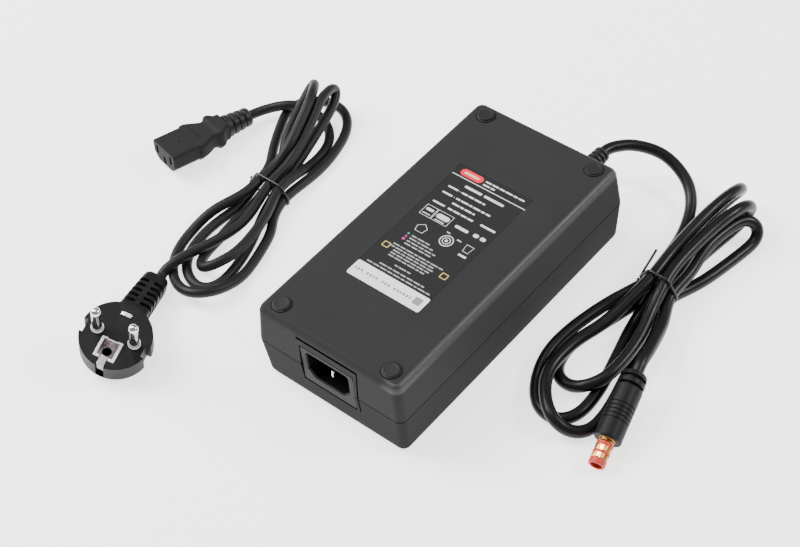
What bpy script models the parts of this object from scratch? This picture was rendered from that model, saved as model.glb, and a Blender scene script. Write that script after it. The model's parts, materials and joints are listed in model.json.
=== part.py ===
"""Charger for an electric bicycle with its two leads, feet and rating label up.

The case lies on its plain cover. +Z is up, +Y points along the case to the end where the
charging lead leaves it, and the origin is the centre of the face that it rests on.
"""
import math

import bmesh
import bpy
from mathutils import Matrix, Vector

MM = 0.001

# Case
CASE_WIDTH = 86.0 * MM
CASE_LENGTH = 166.6 * MM
CASE_HEIGHT = 45.5 * MM
PARTING_HEIGHT = 24.0 * MM
BASE_DRAFT = 0.078
COVER_DRAFT = 0.070
WALL = 2.2 * MM
CORNER_RADIUS = 4.0 * MM
EDGE_RADIUS = 3.0 * MM
GAP = 0.3 * MM
LIP_HEIGHT = 1.6 * MM
LIP_WALL = 0.9 * MM

# Feet and case screws
FOOT_INSET_X = 10.9 * MM
FOOT_INSET_Y = 9.1 * MM
FOOT_RADIUS = 4.6 * MM
FOOT_PROUD = 1.2 * MM
FOOT_SEAT = 0.8 * MM
FOOT_STEP = 0.45 * MM
FOOT_LEDGE = 0.6 * MM
SCREW_RADIUS = 1.5 * MM
SCREW_HEAD_RADIUS = 2.8 * MM
SCREW_HEAD_HEIGHT = 1.9 * MM
SCREW_LENGTH = 16.0 * MM
BOSS_WALL = 1.4 * MM
BOSS_FLOOR = 3.0 * MM
RIB_WALL = 1.4 * MM
RIB_FOOT = 5.0 * MM

# Rating label and the strip across its front end
LABEL_LEFT = -21.6 * MM
LABEL_RIGHT = 20.6 * MM
LABEL_FRONT = -32.7 * MM
LABEL_BACK = 41.5 * MM
STRIP_DEPTH = 9.4 * MM
LABEL_THICKNESS = 0.3 * MM
LABEL_CORNER = 1.2 * MM

# Mains inlet
PANEL_WIDTH = 30.8 * MM
PANEL_HEIGHT = 22.0 * MM
PANEL_BELOW_TOP = 9.3 * MM
PANEL_CORNER = 0.8 * MM
PANEL_SINK = 0.8 * MM
PANEL_THICKNESS = 3.4 * MM
CAVITY_WIDTH = 24.4 * MM
CAVITY_HEIGHT = 15.2 * MM
CAVITY_CHAMFER = 4.2 * MM
CAVITY_DEPTH = 16.5 * MM
CAVITY_WALL = 2.0 * MM
CAVITY_LIFT = 1.2 * MM
CAVITY_TOP_CORNER = 1.6 * MM
CAVITY_CORNER = 0.8 * MM
HOLD_FLANGE = 1.9 * MM
FLANGE_THICKNESS = 1.6 * MM
PIN_PITCH = 14.0 * MM
PIN_RISE = 2.0 * MM
PIN_WIDTH = 4.0 * MM
PIN_THICKNESS = 2.0 * MM
EARTH_PIN_RECESS = 2.6 * MM
LINE_PIN_RECESS = 5.0 * MM
PIN_TAIL = 3.6 * MM
PIN_POINT = 1.0 * MM
GROOVE_WIDTH = 0.8 * MM
GROOVE_TOP_WIDTH = 1.4 * MM
GROOVE_DEPTH = 0.7 * MM
GROOVE_MARGIN = 2.2 * MM
GROOVE_RISE = 4.0 * MM

# Circuit board
STANDOFF_HEIGHT = 5.0 * MM
STANDOFF_RADIUS = 2.6 * MM
BOARD_SIDE_GAP = 8.0 * MM
BOARD_FRONT_GAP = 22.8 * MM
BOARD_BACK_GAP = 17.3 * MM
BOARD_THICKNESS = 1.6 * MM
BOARD_CORNER = 1.5 * MM
STANDOFF_INSET_X = 6.0 * MM
STANDOFF_INSET_Y = 8.2 * MM

# What hangs below the board: each place is a share of the board's half width and one of its length,
# each size is across and along the case, a drop is a height below the board, and a floor gap is
# what is left above the cover
FUSE_PLACE = (-0.80, 0.225)
FUSE_RADIUS = 2.7 * MM
FUSE_LENGTH = 20.0 * MM
X_CAPACITOR_PLACE = (-0.40, 0.138)
X_CAPACITOR_SIZE = (11.0 * MM, 17.0 * MM)
X_CAPACITOR_DROP = 15.0 * MM
CHOKE_PLACE = (0.40, 0.130)
CHOKE_RING_RADIUS = 7.2 * MM
CHOKE_WINDING_RADIUS = 3.4 * MM
CHOKE_BASE_SIZE = (18.0 * MM, 11.0 * MM)
CHOKE_BASE_DROP = 1.6 * MM
RECTIFIER_PLACE = (0.40, 0.265)
RECTIFIER_SIZE = (15.0 * MM, 4.0 * MM)
RECTIFIER_DROP = 16.0 * MM
BULK_CAN_PLACE = (-0.60, 0.447)
BULK_CAN_RADIUS = 12.5 * MM
BULK_CAN_FLOOR_GAP = 3.9 * MM
OUTPUT_CAN_PLACE = (-0.40, 0.763)
OUTPUT_CAN_PITCH = 16.0 * MM
OUTPUT_CAN_RADIUS = 6.3 * MM
OUTPUT_CAN_FLOOR_GAP = 8.9 * MM
TRANSFORMER_PLACE = (0.23, 0.605)
CORE_WIDTH = 33.0 * MM
CORE_LENGTH = 12.0 * MM
CORE_LEG = 5.5 * MM
CORE_FLOOR_GAP = 5.9 * MM
WINDING_LENGTH = 24.0 * MM
WINDING_CORNER = 4.0 * MM
HEATSINK_SHARE = 0.871
PRIMARY_HEATSINK_SPAN = (0.304, 0.620)
SECONDARY_HEATSINK_SPAN = (0.605, 0.873)
HEATSINK_FLOOR_GAP = 7.9 * MM
HEATSINK_PLATE = 1.8 * MM
FIN_COUNT = 5
FIN_REACH = 2.2 * MM
FIN_WALL = 1.0 * MM
FIN_END = 2.0 * MM
SWITCH_SIZE = (4.4 * MM, 15.0 * MM)
SWITCH_DROP = 19.0 * MM
SWITCH_PLACE = 0.4625
OUTPUT_RECTIFIER_PLACE = 0.763
BODY_EDGE = 0.6 * MM

# Indicator and the clear pin that brings its light to the cover's face
LIGHT_PLACE = (0.0, 0.826)
LIGHT_RADIUS = 2.5 * MM
LIGHT_HEAD_RADIUS = 3.6 * MM
LIGHT_HEAD_LENGTH = 1.5 * MM
INDICATOR_DROP = 12.1 * MM
INDICATOR_RADIUS = 2.5 * MM
INDICATOR_DOME = 3.4 * MM

# Charging lead
RELIEF_X = 16.5 * MM
RELIEF_REACH = 19.7 * MM
RELIEF_NECK_RADIUS = 4.6 * MM
RELIEF_HEAD_RADIUS = 6.4 * MM
RELIEF_HEAD_LENGTH = 4.0 * MM
RELIEF_TIP_RADIUS = 4.15 * MM
RELIEF_ROOT_RADIUS = 5.0 * MM
RELIEF_RINGS = 6
RELIEF_PITCH = 2.7 * MM
RELIEF_RING_LENGTH = 1.6 * MM
RELIEF_GROOVE = 0.8 * MM
RELIEF_COLLAR_LENGTH = 1.8 * MM
RELIEF_SHOULDER = 0.6 * MM
DC_CORD_DIAMETER = 6.0 * MM
MAINS_CORD_DIAMETER = 5.2 * MM
WIRE_RADIUS = 0.9 * MM
WIRE_SPREAD = 1.7 * MM
WIRE_REACH = 12.5 * MM

# Charging plug: a round grip with a hollow banded tip, lying across its own lead
DC_PLUG_REAR = Vector((103.8, 6.4, 14.4)) * MM
DC_PLUG_FRONT = Vector((111.5, -26.8, 7.0)) * MM
DC_PLUG_RADIUS = 6.45 * MM
DC_PLUG_TIP_LENGTH = 13.0 * MM
DC_PLUG_TIP_RADIUS = 3.95 * MM
DC_PLUG_BORE_RADIUS = 2.7 * MM
DC_PLUG_BORE_DEPTH = 8.5 * MM
DC_PLUG_COLLAR_LENGTH = 2.6 * MM
DC_PLUG_SEAT = 1.6 * MM
DC_PLUG_GRIP_START = 17.5 * MM
DC_PLUG_GRIP_PITCH = 2.0 * MM
DC_PLUG_GRIP_LINES = 5
DC_PLUG_BAND_LENGTH = 2.6 * MM
DC_PLUG_BAND_DEPTH = 0.75 * MM
DC_PLUG_BAND_OFFSETS = (3.9 * MM, 7.6 * MM)

# Mains lead: connector for the inlet at one end, wall plug with side earth at the other
CONNECTOR_FACE = Vector((-174.5, -15.3, 10.6)) * MM
CONNECTOR_REAR = Vector((-162.0, 35.2, 6.0)) * MM
CONNECTOR_WIDTH = 21.4 * MM
CONNECTOR_HEIGHT = 13.6 * MM
CONNECTOR_CHAMFER = 3.8 * MM
CONNECTOR_INSERT = 16.0 * MM
SLOT_PITCH = 13.2 * MM
SLOT_WIDTH = 2.0 * MM
SLOT_HEIGHT = 5.4 * MM
SLOT_DROP = 3.6 * MM
SLOT_RISE = 1.4 * MM
SLOT_DEPTH = 13.0 * MM
CONTACT_RECESS = 2.0 * MM
CONNECTOR_RELIEF_RINGS = 4
CONNECTOR_RELIEF_RADIUS = 4.9 * MM
CONNECTOR_RELIEF_STEP = 0.32 * MM
CONNECTOR_RELIEF_GROOVE = 1.1 * MM

PLUG_CENTRE = Vector((-101.5, -118.7, 18.5)) * MM
PLUG_ACROSS = Vector((0.909, 0.307, -0.285))
PLUG_UP = Vector((-0.260, 0.947, 0.191))
PLUG_RADIUS = 17.3 * MM
PLUG_DEPTH = 13.2 * MM
PLUG_PIN_SPACING = 19.0 * MM
PLUG_PIN_RADIUS = 2.4 * MM
PLUG_PIN_LENGTH = 19.0 * MM
PLUG_PIN_ROOT = 6.0 * MM
PLUG_COLLAR_RADIUS = 3.3 * MM
PLUG_COLLAR_HEIGHT = 0.6 * MM
PLUG_COLLAR_SEAT = 1.5 * MM
PLUG_ARM_ANGLE = math.radians(26.5)
PLUG_ARM_END = Vector((0.0, 41.8, -21.6)) * MM
PLUG_ARM_LENGTH = 35.5 * MM
ARM_SLOT_COUNT = 5
ARM_SLOT_START = 12.6 * MM
ARM_SLOT_PITCH = 4.1 * MM
ARM_SLOT_WIDTH = 2.0 * MM
ARM_SLOT_FLOOR = 1.4 * MM
ARM_SPINE = 1.3 * MM
ARM_CORNER = 2.6 * MM
PLUG_NOTCH_INSET = 2.4 * MM
PLUG_NOTCH_WIDTH = 6.6 * MM
PLUG_NOTCH_RISE = 1.8 * MM
EARTH_FRAME_SIZE = 10.6 * MM
EARTH_FRAME_CENTRE = -7.8 * MM
EARTH_FRAME_DEPTH = 1.6 * MM
EARTH_FRAME_PROUD = 0.3 * MM
EARTH_BAR = 1.7 * MM
EARTH_PLATE = 0.5 * MM
EARTH_HOLE_RADIUS = 2.5 * MM
EARTH_STRIP_WIDTH = 3.6 * MM
EARTH_STRIP_DROP = 6.0 * MM
EARTH_STRIP_SLOT = 11.5 * MM
EARTH_BORE_SHIFT = 1.3 * MM
EARTH_BORE_DEPTH = 8.0 * MM
EARTH_CLIP_WIDTH = 5.6 * MM
EARTH_CLIP_PLACE = 11.4 * MM
EARTH_CLIP_LENGTH = 2.4 * MM
EARTH_CLIP_DEPTH = 2.4 * MM
EARTH_CLIP_PROUD = 0.4 * MM

TIE_RADIUS = 0.6 * MM
TIE_SLACK = 0.22 * MM

# Centre line of the charging lead in millimetres, from the case to its plug
DC_CORD_ROUTE = [
    # Out of the strain relief and round the corner of the case
    (16.5, 103.4, 24), (16.8, 106.6, 24), (18.8, 111.4, 23.6), (24.5, 119, 21.5), (37.5, 125.5, 17),
    (52, 121.5, 11), (59.5, 114, 6.5), (68, 92, 3.1), (72, 71, 5.5), (74.5, 55.5, 10.5), (67, 36.5, 9),
    (62, 14, 8.4), (61, -3, 6.6), (65.5, -17.5, 3.4), (74.5, -27.5, 3.1),
    # First turn of the hank
    (85.5, -28.5, 3.1), (91.5, -19.5, 3.1), (90.5, -2, 3.1), (85.5, 19, 3.1), (81, 38, 3.1),
    (81.5, 55.5, 10.5), (83, 71, 6.2), (84, 97.5, 3.1), (87, 116.5, 4.5), (89, 123.5, 10),
    (90, 120.5, 17), (88.5, 109.5, 21), (85.5, 95, 19.6), (83.5, 71, 17.6), (85, 55.5, 16.4),
    (87.5, 42.5, 12.8), (92, 24, 10.5), (92.5, 2.5, 9.6), (87, -8.5, 8), (78, -10.5, 3.8),
    # Second turn
    (68.5, -6, 3.1), (65, 10, 3.1), (69.5, 28, 3.1), (77.5, 55.5, 4.6), (78, 71, 3.1), (73, 106, 3.1),
    (74.5, 127, 6), (79, 131, 12), (81, 125, 19), (80.5, 112, 22.5), (79, 93, 22), (77.5, 71, 18.2),
    (78, 55.5, 16.4), (74, 25.5, 11.5), (69, 8, 10.3), (68.5, -10, 9.8), (74, -22, 9.6), (85, -32, 9.3),
    # Third turn, over the first and down to the plug
    (93.5, -31.5, 4.4), (100.5, -25, 3.1), (100.5, -9.5, 3.1), (94.5, 16.5, 3.1), (88, 45, 3.1),
    (85.5, 55.5, 4.6), (89, 67.5, 3.3), (93, 79.5, 3.1), (97, 100.5, 3.1), (99, 113.5, 4), (98, 117, 8),
    (94.5, 117, 12), (90, 111.5, 13.4), (86.5, 90.5, 13), (89, 71, 12.2), (88.5, 55.5, 10.8),
    (95, 40, 9.8), (100.5, 22, 13.8), (102.2, 13.4, 15.7), (103.7, 6.8, 14.5),
]

# Centre line of the mains lead in millimetres, from its connector to its wall plug
MAINS_CORD_ROUTE = [
    # Out of the connector and down through the tie
    (-161.9, 35.6, 6), (-157.5, 44.5, 6.2), (-148.5, 51.5, 8.5), (-142.5, 56, 6.8), (-134, 58.5, 3.5),
    (-121.5, 53, 2.7), (-114.5, 42.5, 2.7), (-112.5, 27.5, 3.4), (-110.8, 16, 8), (-110, 1.5, 9),
    (-102.5, -18, 8.4), (-98, -39.5, 9.4), (-99.5, -51, 10), (-106, -59, 7.4), (-114.5, -49.5, 3),
    # First turn of the hank
    (-116, -37.5, 2.7), (-118, -23, 2.7), (-117.5, -12, 2.7), (-119.5, 1.5, 4.2), (-122.5, 15.5, 3),
    (-133, 33, 8), (-141, 57.5, 13.2), (-141, 66, 17.8), (-130.5, 52, 23), (-126.5, 40, 19.6),
    (-122, 24.5, 15.6), (-122.5, 15.5, 10.2), (-123, 1.5, 8.9), (-123, -10, 8.4), (-128.5, -27, 7.6),
    (-131, -40, 3.4), (-128.5, -53, 2.7), (-122.5, -63.5, 2.7), (-113, -71, 4.4), (-101.5, -74, 7.3),
    (-93.5, -70, 8.1), (-90, -60.5, 5.5),
    # Second turn, flat on the ground round the far end
    (-89.5, -48, 2.8), (-92.5, -34, 2.7), (-98, -18, 2.7), (-103.5, -11, 2.7), (-107, 1.5, 4.2),
    (-107, 25.5, 2.7), (-108.5, 40, 2.7), (-114, 57.5, 2.7), (-123.5, 68, 2.7), (-136, 70, 2.7),
    (-146, 64, 2.7), (-151, 54, 2.7), (-145, 40, 2.7), (-136.5, 25, 2.7), (-130, 15.5, 2.7),
    (-126, 1.5, 4.2), (-123.5, -14, 2.7), (-125, -28, 2.7), (-124.5, -42, 2.7), (-120, -56, 2.7),
    (-111, -64, 2.7), (-101, -66, 2.7), (-95.5, -60, 2.7), (-96, -48, 2.7),
    # Third turn, over the others and out to the wall plug
    (-100.5, -31.5, 2.7), (-109.5, -11, 2.7), (-113, 1.5, 4.2), (-115.8, 14, 4.2), (-118.5, 30, 6.6),
    (-122, 47, 9.6), (-127, 64.5, 11.5), (-131, 71, 16), (-127.5, 56.5, 20.5), (-124, 46, 17.6),
    (-119.5, 30.5, 13.6), (-116.5, 15.5, 10.8), (-116.5, 1.5, 9.1), (-110, -23.5, 8.4), (-112.5, -42.5, 8.6),
    (-117, -55, 8.4), (-119, -64.5, 8.9), (-120.6, -69.2, 7.2), (-120.2, -72.6, 5.9), (-118.7, -76.2, 6.6),
]

# Where each tie holds its hank: the cords' centres there, across the hank and up, in millimetres
DC_TIE_PLACE = 55.5 * MM
DC_TIE_STRANDS = [(74.5, 10.5), (81.5, 10.5), (85, 16.4), (77.5, 4.6), (78, 16.4), (85.5, 4.6), (88.5, 10.8)]
DC_TIE_TAIL = [(73, 57.8, 18), (75.5, 58, 25), (78.5, 58, 33.5)]
DC_TIE_START = math.radians(157.5)
MAINS_TIE_PLACE = 1.5 * MM
MAINS_TIE_STRANDS = [(-110, 9), (-119.5, 4.2), (-123, 8.9), (-107, 4.2), (-126, 4.2), (-113, 4.2), (-116.5, 9.1)]
MAINS_TIE_TAIL = [(-131, 3.4, 6.6), (-132, 4, 3.8)]
MAINS_TIE_START = math.radians(165)

ROUND_STEPS = 16
SMALL_ROUND_STEPS = 10
PLUG_STEPS = 32
TIE_STEPS = 16


def clear_scene():
    for obj in list(bpy.data.objects):
        bpy.data.objects.remove(obj, do_unlink=True)


def make_collection(name):
    group = bpy.data.collections.new(name)
    bpy.context.scene.collection.children.link(group)
    return group


def make_material(name, colour, roughness, metallic=0.0):
    material = bpy.data.materials.new(name)
    material.use_nodes = True
    shader = material.node_tree.nodes["Principled BSDF"]
    shader.inputs["Base Color"].default_value = (*colour, 1.0)
    shader.inputs["Roughness"].default_value = roughness
    shader.inputs["Metallic"].default_value = metallic
    return material


def black_plastic(name):
    return make_material(name, (0.045, 0.045, 0.047), 0.55)


def black_rubber(name):
    return make_material(name, (0.020, 0.020, 0.021), 0.70)


def cord_jacket(name):
    return make_material(name, (0.018, 0.018, 0.019), 0.35)


def brass(name):
    return make_material(name, (0.78, 0.57, 0.25), 0.30, 1.0)


def nickel(name):
    return make_material(name, (0.74, 0.72, 0.70), 0.20, 1.0)


def white_plastic(name):
    return make_material(name, (0.85, 0.84, 0.82), 0.40)


def box_mesh(name, low, high):
    low, high = Vector(low), Vector(high)
    bm = bmesh.new()
    bmesh.ops.create_cube(bm, size=1.0)
    bmesh.ops.scale(bm, vec=high - low, verts=bm.verts)
    bmesh.ops.translate(bm, vec=(low + high) / 2, verts=bm.verts)
    return finished(bm, name)


def rod_mesh(name, start, end, radius, steps=ROUND_STEPS):
    start, end = Vector(start), Vector(end)
    turn = (end - start).to_track_quat("Z", "Y").to_matrix().to_4x4()
    bm = bmesh.new()
    bmesh.ops.create_cone(bm, cap_ends=True, segments=steps, radius1=radius, radius2=radius,
                          depth=(end - start).length, matrix=Matrix.Translation((start + end) / 2) @ turn)
    return finished(bm, name)


def finished(bm, name):
    mesh = bpy.data.meshes.new(name)
    bm.to_mesh(mesh)
    bm.free()
    return mesh


def mesh_from_curve(curve):
    """Mesh of a curve's evaluated surface, its caps welded on."""
    holder = bpy.data.objects.new(curve.name, curve)
    bpy.context.scene.collection.objects.link(holder)
    graph = bpy.context.evaluated_depsgraph_get()
    mesh = bpy.data.meshes.new_from_object(holder.evaluated_get(graph))
    bpy.data.objects.remove(holder, do_unlink=True)
    bm = bmesh.new()
    bm.from_mesh(mesh)
    bmesh.ops.remove_doubles(bm, verts=bm.verts, dist=0.001 * MM)
    bm.to_mesh(mesh)
    bm.free()
    return mesh


def plate_mesh(name, outlines, thickness):
    """Flat plate in XY, centred on its thickness; outlines after the first are its holes."""
    curve = bpy.data.curves.new(name, "CURVE")
    curve.dimensions = "2D"
    curve.fill_mode = "BOTH"
    curve.extrude = thickness / 2
    for outline in outlines:
        spline = curve.splines.new("POLY")
        spline.points.add(len(outline) - 1)
        for point, (x, y) in zip(spline.points, outline):
            point.co = (x, y, 0.0, 1.0)
        spline.use_cyclic_u = True
    return mesh_from_curve(curve)


def rounded_outline(corners, steps=3):
    """Closed outline through (x, y, radius) corners, each turned into an arc of that radius."""
    outline = []
    for index, (x, y, radius) in enumerate(corners):
        here = Vector((x, y))
        before = Vector(corners[index - 1][:2]) - here
        after = Vector(corners[(index + 1) % len(corners)][:2]) - here
        if radius <= 0:
            outline.append(here)
            continue
        half = before.angle(after) / 2
        middle = here + (before.normalized() + after.normalized()).normalized() * (radius / math.sin(half))
        start = here + before.normalized() * (radius / math.tan(half)) - middle
        end = here + after.normalized() * (radius / math.tan(half)) - middle
        sweep = start.angle_signed(end)
        for step in range(steps + 1):
            turn = Matrix.Rotation(-sweep * step / steps, 2)
            outline.append(middle + turn @ start)
    return [tuple(point) for point in outline]


def rectangle(low_x, low_y, high_x, high_y, radius, steps=3):
    corners = [(low_x, low_y, radius), (high_x, low_y, radius),
               (high_x, high_y, radius), (low_x, high_y, radius)]
    return rounded_outline(corners, steps)


def loft_mesh(name, rings):
    """Closed skin through rings with equal numbers of points, with a flat cap at each end."""
    count = len(rings[0])
    bm = bmesh.new()
    loops = [[bm.verts.new(point) for point in ring] for ring in rings]
    for near, far in zip(loops, loops[1:]):
        for step in range(count):
            after = (step + 1) % count
            bm.faces.new((near[step], near[after], far[after], far[step]))
    bm.faces.new(loops[0])
    bm.faces.new(loops[-1])
    bmesh.ops.recalc_face_normals(bm, faces=bm.faces)
    return finished(bm, name)


def place(name, mesh, material, group, matrix=None):
    mesh.materials.clear()
    mesh.materials.append(material)
    obj = bpy.data.objects.new(name, mesh)
    group.objects.link(obj)
    if matrix is not None:
        obj.matrix_world = matrix
    return obj


def place_tool(mesh, tools, matrix=None):
    """A cutter or a shape to be joined on: kept, but not a part by itself."""
    obj = bpy.data.objects.new(mesh.name, mesh)
    tools.objects.link(obj)
    obj.hide_render = True
    obj.display_type = "WIRE"
    if matrix is not None:
        obj.matrix_world = matrix
    return obj


def combine(obj, tool, operation):
    modifier = obj.modifiers.new(tool.name, "BOOLEAN")
    modifier.operation = operation
    modifier.solver = "EXACT"
    modifier.object = tool


def cut(obj, tools, *meshes, matrix=None):
    for mesh in meshes:
        combine(obj, place_tool(mesh, tools, matrix), "DIFFERENCE")


def join(obj, tools, *meshes, matrix=None):
    for mesh in meshes:
        combine(obj, place_tool(mesh, tools, matrix), "UNION")


def turned(name, profile, material, group, matrix=None, steps=ROUND_STEPS):
    """Turn a profile of (radius, height), given down its outer side, round the Z axis."""
    mesh = bpy.data.meshes.new(name)
    points = [(radius, 0.0, height) for radius, height in profile]
    mesh.from_pydata(points, [(i, i + 1) for i in range(len(points) - 1)], [])
    obj = place(name, mesh, material, group, matrix)
    screw = obj.modifiers.new("Turn", "SCREW")
    screw.steps = steps
    screw.render_steps = steps
    screw.use_merge_vertices = True
    screw.merge_threshold = 0.00001
    screw.use_smooth_shade = True
    return obj


def axes_matrix(origin, across, along):
    """Matrix whose X is across, whose Y is along made square to it, and whose origin is given."""
    x_axis = Vector(across).normalized()
    y_axis = (Vector(along) - x_axis * x_axis.dot(Vector(along))).normalized()
    matrix = Matrix((x_axis, y_axis, x_axis.cross(y_axis))).transposed().to_4x4()
    matrix.translation = origin
    return matrix


def along_matrix(origin, direction):
    """Matrix at origin whose Z points along direction and whose X stays level."""
    z_axis = Vector(direction).normalized()
    x_axis = Vector((0, 0, 1)).cross(z_axis).normalized()
    return axes_matrix(origin, x_axis, z_axis.cross(x_axis))


def smooth_route(points, spacing):
    """Points about a spacing apart on a Catmull-Rom curve through the route, closer in tight bends."""
    knots = [Vector(point) for point in points]
    knots = [knots[0] * 2 - knots[1]] + knots + [knots[-1] * 2 - knots[-2]]
    route = [knots[1]]
    for before, start, end, after in zip(knots, knots[1:], knots[2:], knots[3:]):
        turn = (end - before).angle(after - start)
        pieces = max(1, round((end - start).length / spacing), math.ceil(turn / math.radians(50)))
        for step in range(1, pieces + 1):
            t = step / pieces
            route.append(0.5 * ((2 * start) + (end - before) * t
                                + (2 * before - 5 * start + 4 * end - after) * t ** 2
                                + (3 * start - before - 3 * end + after) * t ** 3))
    return route


def tube(name, points, radius, material, group, resolution=2):
    """Round tube with filled caps along a run of points."""
    curve = bpy.data.curves.new(name, "CURVE")
    curve.dimensions = "3D"
    curve.bevel_depth = radius
    curve.bevel_resolution = resolution
    curve.use_fill_caps = True
    spline = curve.splines.new("POLY")
    spline.points.add(len(points) - 1)
    for point, place_at in zip(spline.points, points):
        point.co = (*place_at, 1.0)
    return place_curve(name, curve, material, group)


def place_curve(name, curve, material, group):
    curve.materials.append(material)
    obj = bpy.data.objects.new(name, curve)
    group.objects.link(obj)
    return obj


def wall_inset(height):
    """How far the case's outer wall leans in from the parting line at a height."""
    if height > PARTING_HEIGHT:
        return (height - PARTING_HEIGHT) * BASE_DRAFT
    return (PARTING_HEIGHT - height) * COVER_DRAFT


def tub(name, face_height, rim_height, material, group, tools):
    """Open case half: drafted walls, rounded corners and edge, and a rim trimmed flat."""
    up = 1 if face_height > rim_height else -1
    draft = BASE_DRAFT if up > 0 else COVER_DRAFT
    bm = bmesh.new()
    bmesh.ops.create_cube(bm, size=1.0)
    for vert in bm.verts:
        height = face_height if (vert.co.z > 0) == (up > 0) else rim_height - up * WALL
        inset = up * (height - PARTING_HEIGHT) * draft
        vert.co.x = math.copysign(CASE_WIDTH / 2 - inset, vert.co.x)
        vert.co.y = math.copysign(CASE_LENGTH / 2 - inset, vert.co.y)
        vert.co.z = height
    upright = [e for e in bm.edges if abs(e.verts[0].co.z - e.verts[1].co.z) > WALL]
    bmesh.ops.bevel(bm, geom=upright, offset=CORNER_RADIUS, segments=4, profile=0.5, affect="EDGES")
    face_edges = [e for e in bm.edges if all(abs(v.co.z - face_height) < GAP for v in e.verts)]
    bmesh.ops.bevel(bm, geom=face_edges, offset=EDGE_RADIUS, segments=3, profile=0.5, affect="EDGES")
    rim = [f for f in bm.faces if all(abs(v.co.z - rim_height + up * WALL) < GAP for v in f.verts)]
    bmesh.ops.delete(bm, geom=rim, context="FACES_ONLY")
    obj = place(name, finished(bm, name), material, group)
    solidify = obj.modifiers.new("Wall", "SOLIDIFY")
    solidify.thickness = WALL
    solidify.offset = -1.0
    solidify.use_even_offset = True
    low, high = sorted((rim_height, rim_height - 2 * up * WALL))
    cut(obj, tools, box_mesh(name + "_trim", (-CASE_WIDTH, -CASE_LENGTH, low), (CASE_WIDTH, CASE_LENGTH, high)))
    return obj


def corner_places():
    """The four corners where feet and case screws sit, as (x, y)."""
    reach_x = CASE_WIDTH / 2 - FOOT_INSET_X
    reach_y = CASE_LENGTH / 2 - FOOT_INSET_Y
    return [(x * reach_x, y * reach_y) for y in (-1, 1) for x in (-1, 1)]


BASE_RIM = PARTING_HEIGHT + GAP / 2
COVER_RIM = PARTING_HEIGHT - GAP / 2
BASE_ROOF = CASE_HEIGHT - WALL
BORE_RADIUS = SCREW_RADIUS + GAP
HEAD_BORE_RADIUS = SCREW_HEAD_RADIUS + GAP
BOSS_RADIUS = HEAD_BORE_RADIUS + BOSS_WALL
HEAD_SEAT = BASE_RIM + BOSS_FLOOR
RELIEF_HEAD_FRONT = CASE_LENGTH / 2 - RELIEF_SHOULDER - WALL - GAP
RELIEF_HEAD_BACK = RELIEF_HEAD_FRONT - RELIEF_HEAD_LENGTH
BOARD_TOP = BASE_ROOF - STANDOFF_HEIGHT - GAP
BOARD_LOW = BOARD_TOP - BOARD_THICKNESS
BOARD_HALF = CASE_WIDTH / 2 - BOARD_SIDE_GAP
BOARD_FRONT = -CASE_LENGTH / 2 + BOARD_FRONT_GAP
BOARD_BACK = CASE_LENGTH / 2 - BOARD_BACK_GAP
HANG_TOP = BOARD_LOW - GAP
HANG_ROOM = HANG_TOP - WALL
LIGHT_TOP = HANG_TOP - INDICATOR_DROP
PANEL_HIGH = CASE_HEIGHT - PANEL_BELOW_TOP
PANEL_LOW = PANEL_HIGH - PANEL_HEIGHT
PANEL_FACE = -(CASE_LENGTH / 2 - PANEL_SINK)
PANEL_BACK = PANEL_FACE + PANEL_THICKNESS
CAVITY_CENTRE = (PANEL_LOW + PANEL_HIGH) / 2 + CAVITY_LIFT
CAVITY_FLOOR = PANEL_FACE + CAVITY_DEPTH
STRIP_FRONT = LABEL_FRONT - GAP - STRIP_DEPTH


def boss_and_ribs(name, x, y, low, high, rib_high):
    """Screw boss with a rib to each of the two nearest walls."""
    wall_x = CASE_WIDTH / 2 - wall_inset(rib_high) - 0.25 * WALL
    wall_y = CASE_LENGTH / 2 - wall_inset(rib_high) - 0.25 * WALL
    rib_low = low + RIB_FOOT if rib_high > PARTING_HEIGHT else WALL / 2
    across = sorted((x, math.copysign(wall_x, x)))
    along = sorted((y, math.copysign(wall_y, y)))
    return [
        rod_mesh(name + "_boss", (x, y, low), (x, y, high), BOSS_RADIUS),
        box_mesh(name + "_rib_x", (across[0], y - RIB_WALL / 2, rib_low), (across[1], y + RIB_WALL / 2, rib_high)),
        box_mesh(name + "_rib_y", (x - RIB_WALL / 2, along[0], rib_low), (x + RIB_WALL / 2, along[1], rib_high)),
    ]


def standoff_places():
    reach = BOARD_HALF - STANDOFF_INSET_X
    return [(x, y) for x in (-reach, reach) for y in (BOARD_FRONT + STANDOFF_INSET_Y, BOARD_BACK - STANDOFF_INSET_Y)]


def board_spot(across, along):
    """Point of the board at a share of its half width and a share of its length."""
    return across * BOARD_HALF, BOARD_FRONT + along * (BOARD_BACK - BOARD_FRONT)


def inlet_window(name):
    """Block that opens the case wall for the inlet's panel."""
    half = PANEL_WIDTH / 2 + GAP
    return box_mesh(name, (-half, -CASE_LENGTH / 2 - WALL, PANEL_LOW - GAP),
                    (half, PANEL_BACK + GAP, PANEL_HIGH + GAP))


def relief_hole(name):
    """Rod that opens the case wall for the strain relief's neck."""
    end = CASE_LENGTH / 2
    return rod_mesh(name, (RELIEF_X, end - 3 * WALL, PARTING_HEIGHT), (RELIEF_X, end + WALL, PARTING_HEIGHT),
                    RELIEF_NECK_RADIUS + GAP)


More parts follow.
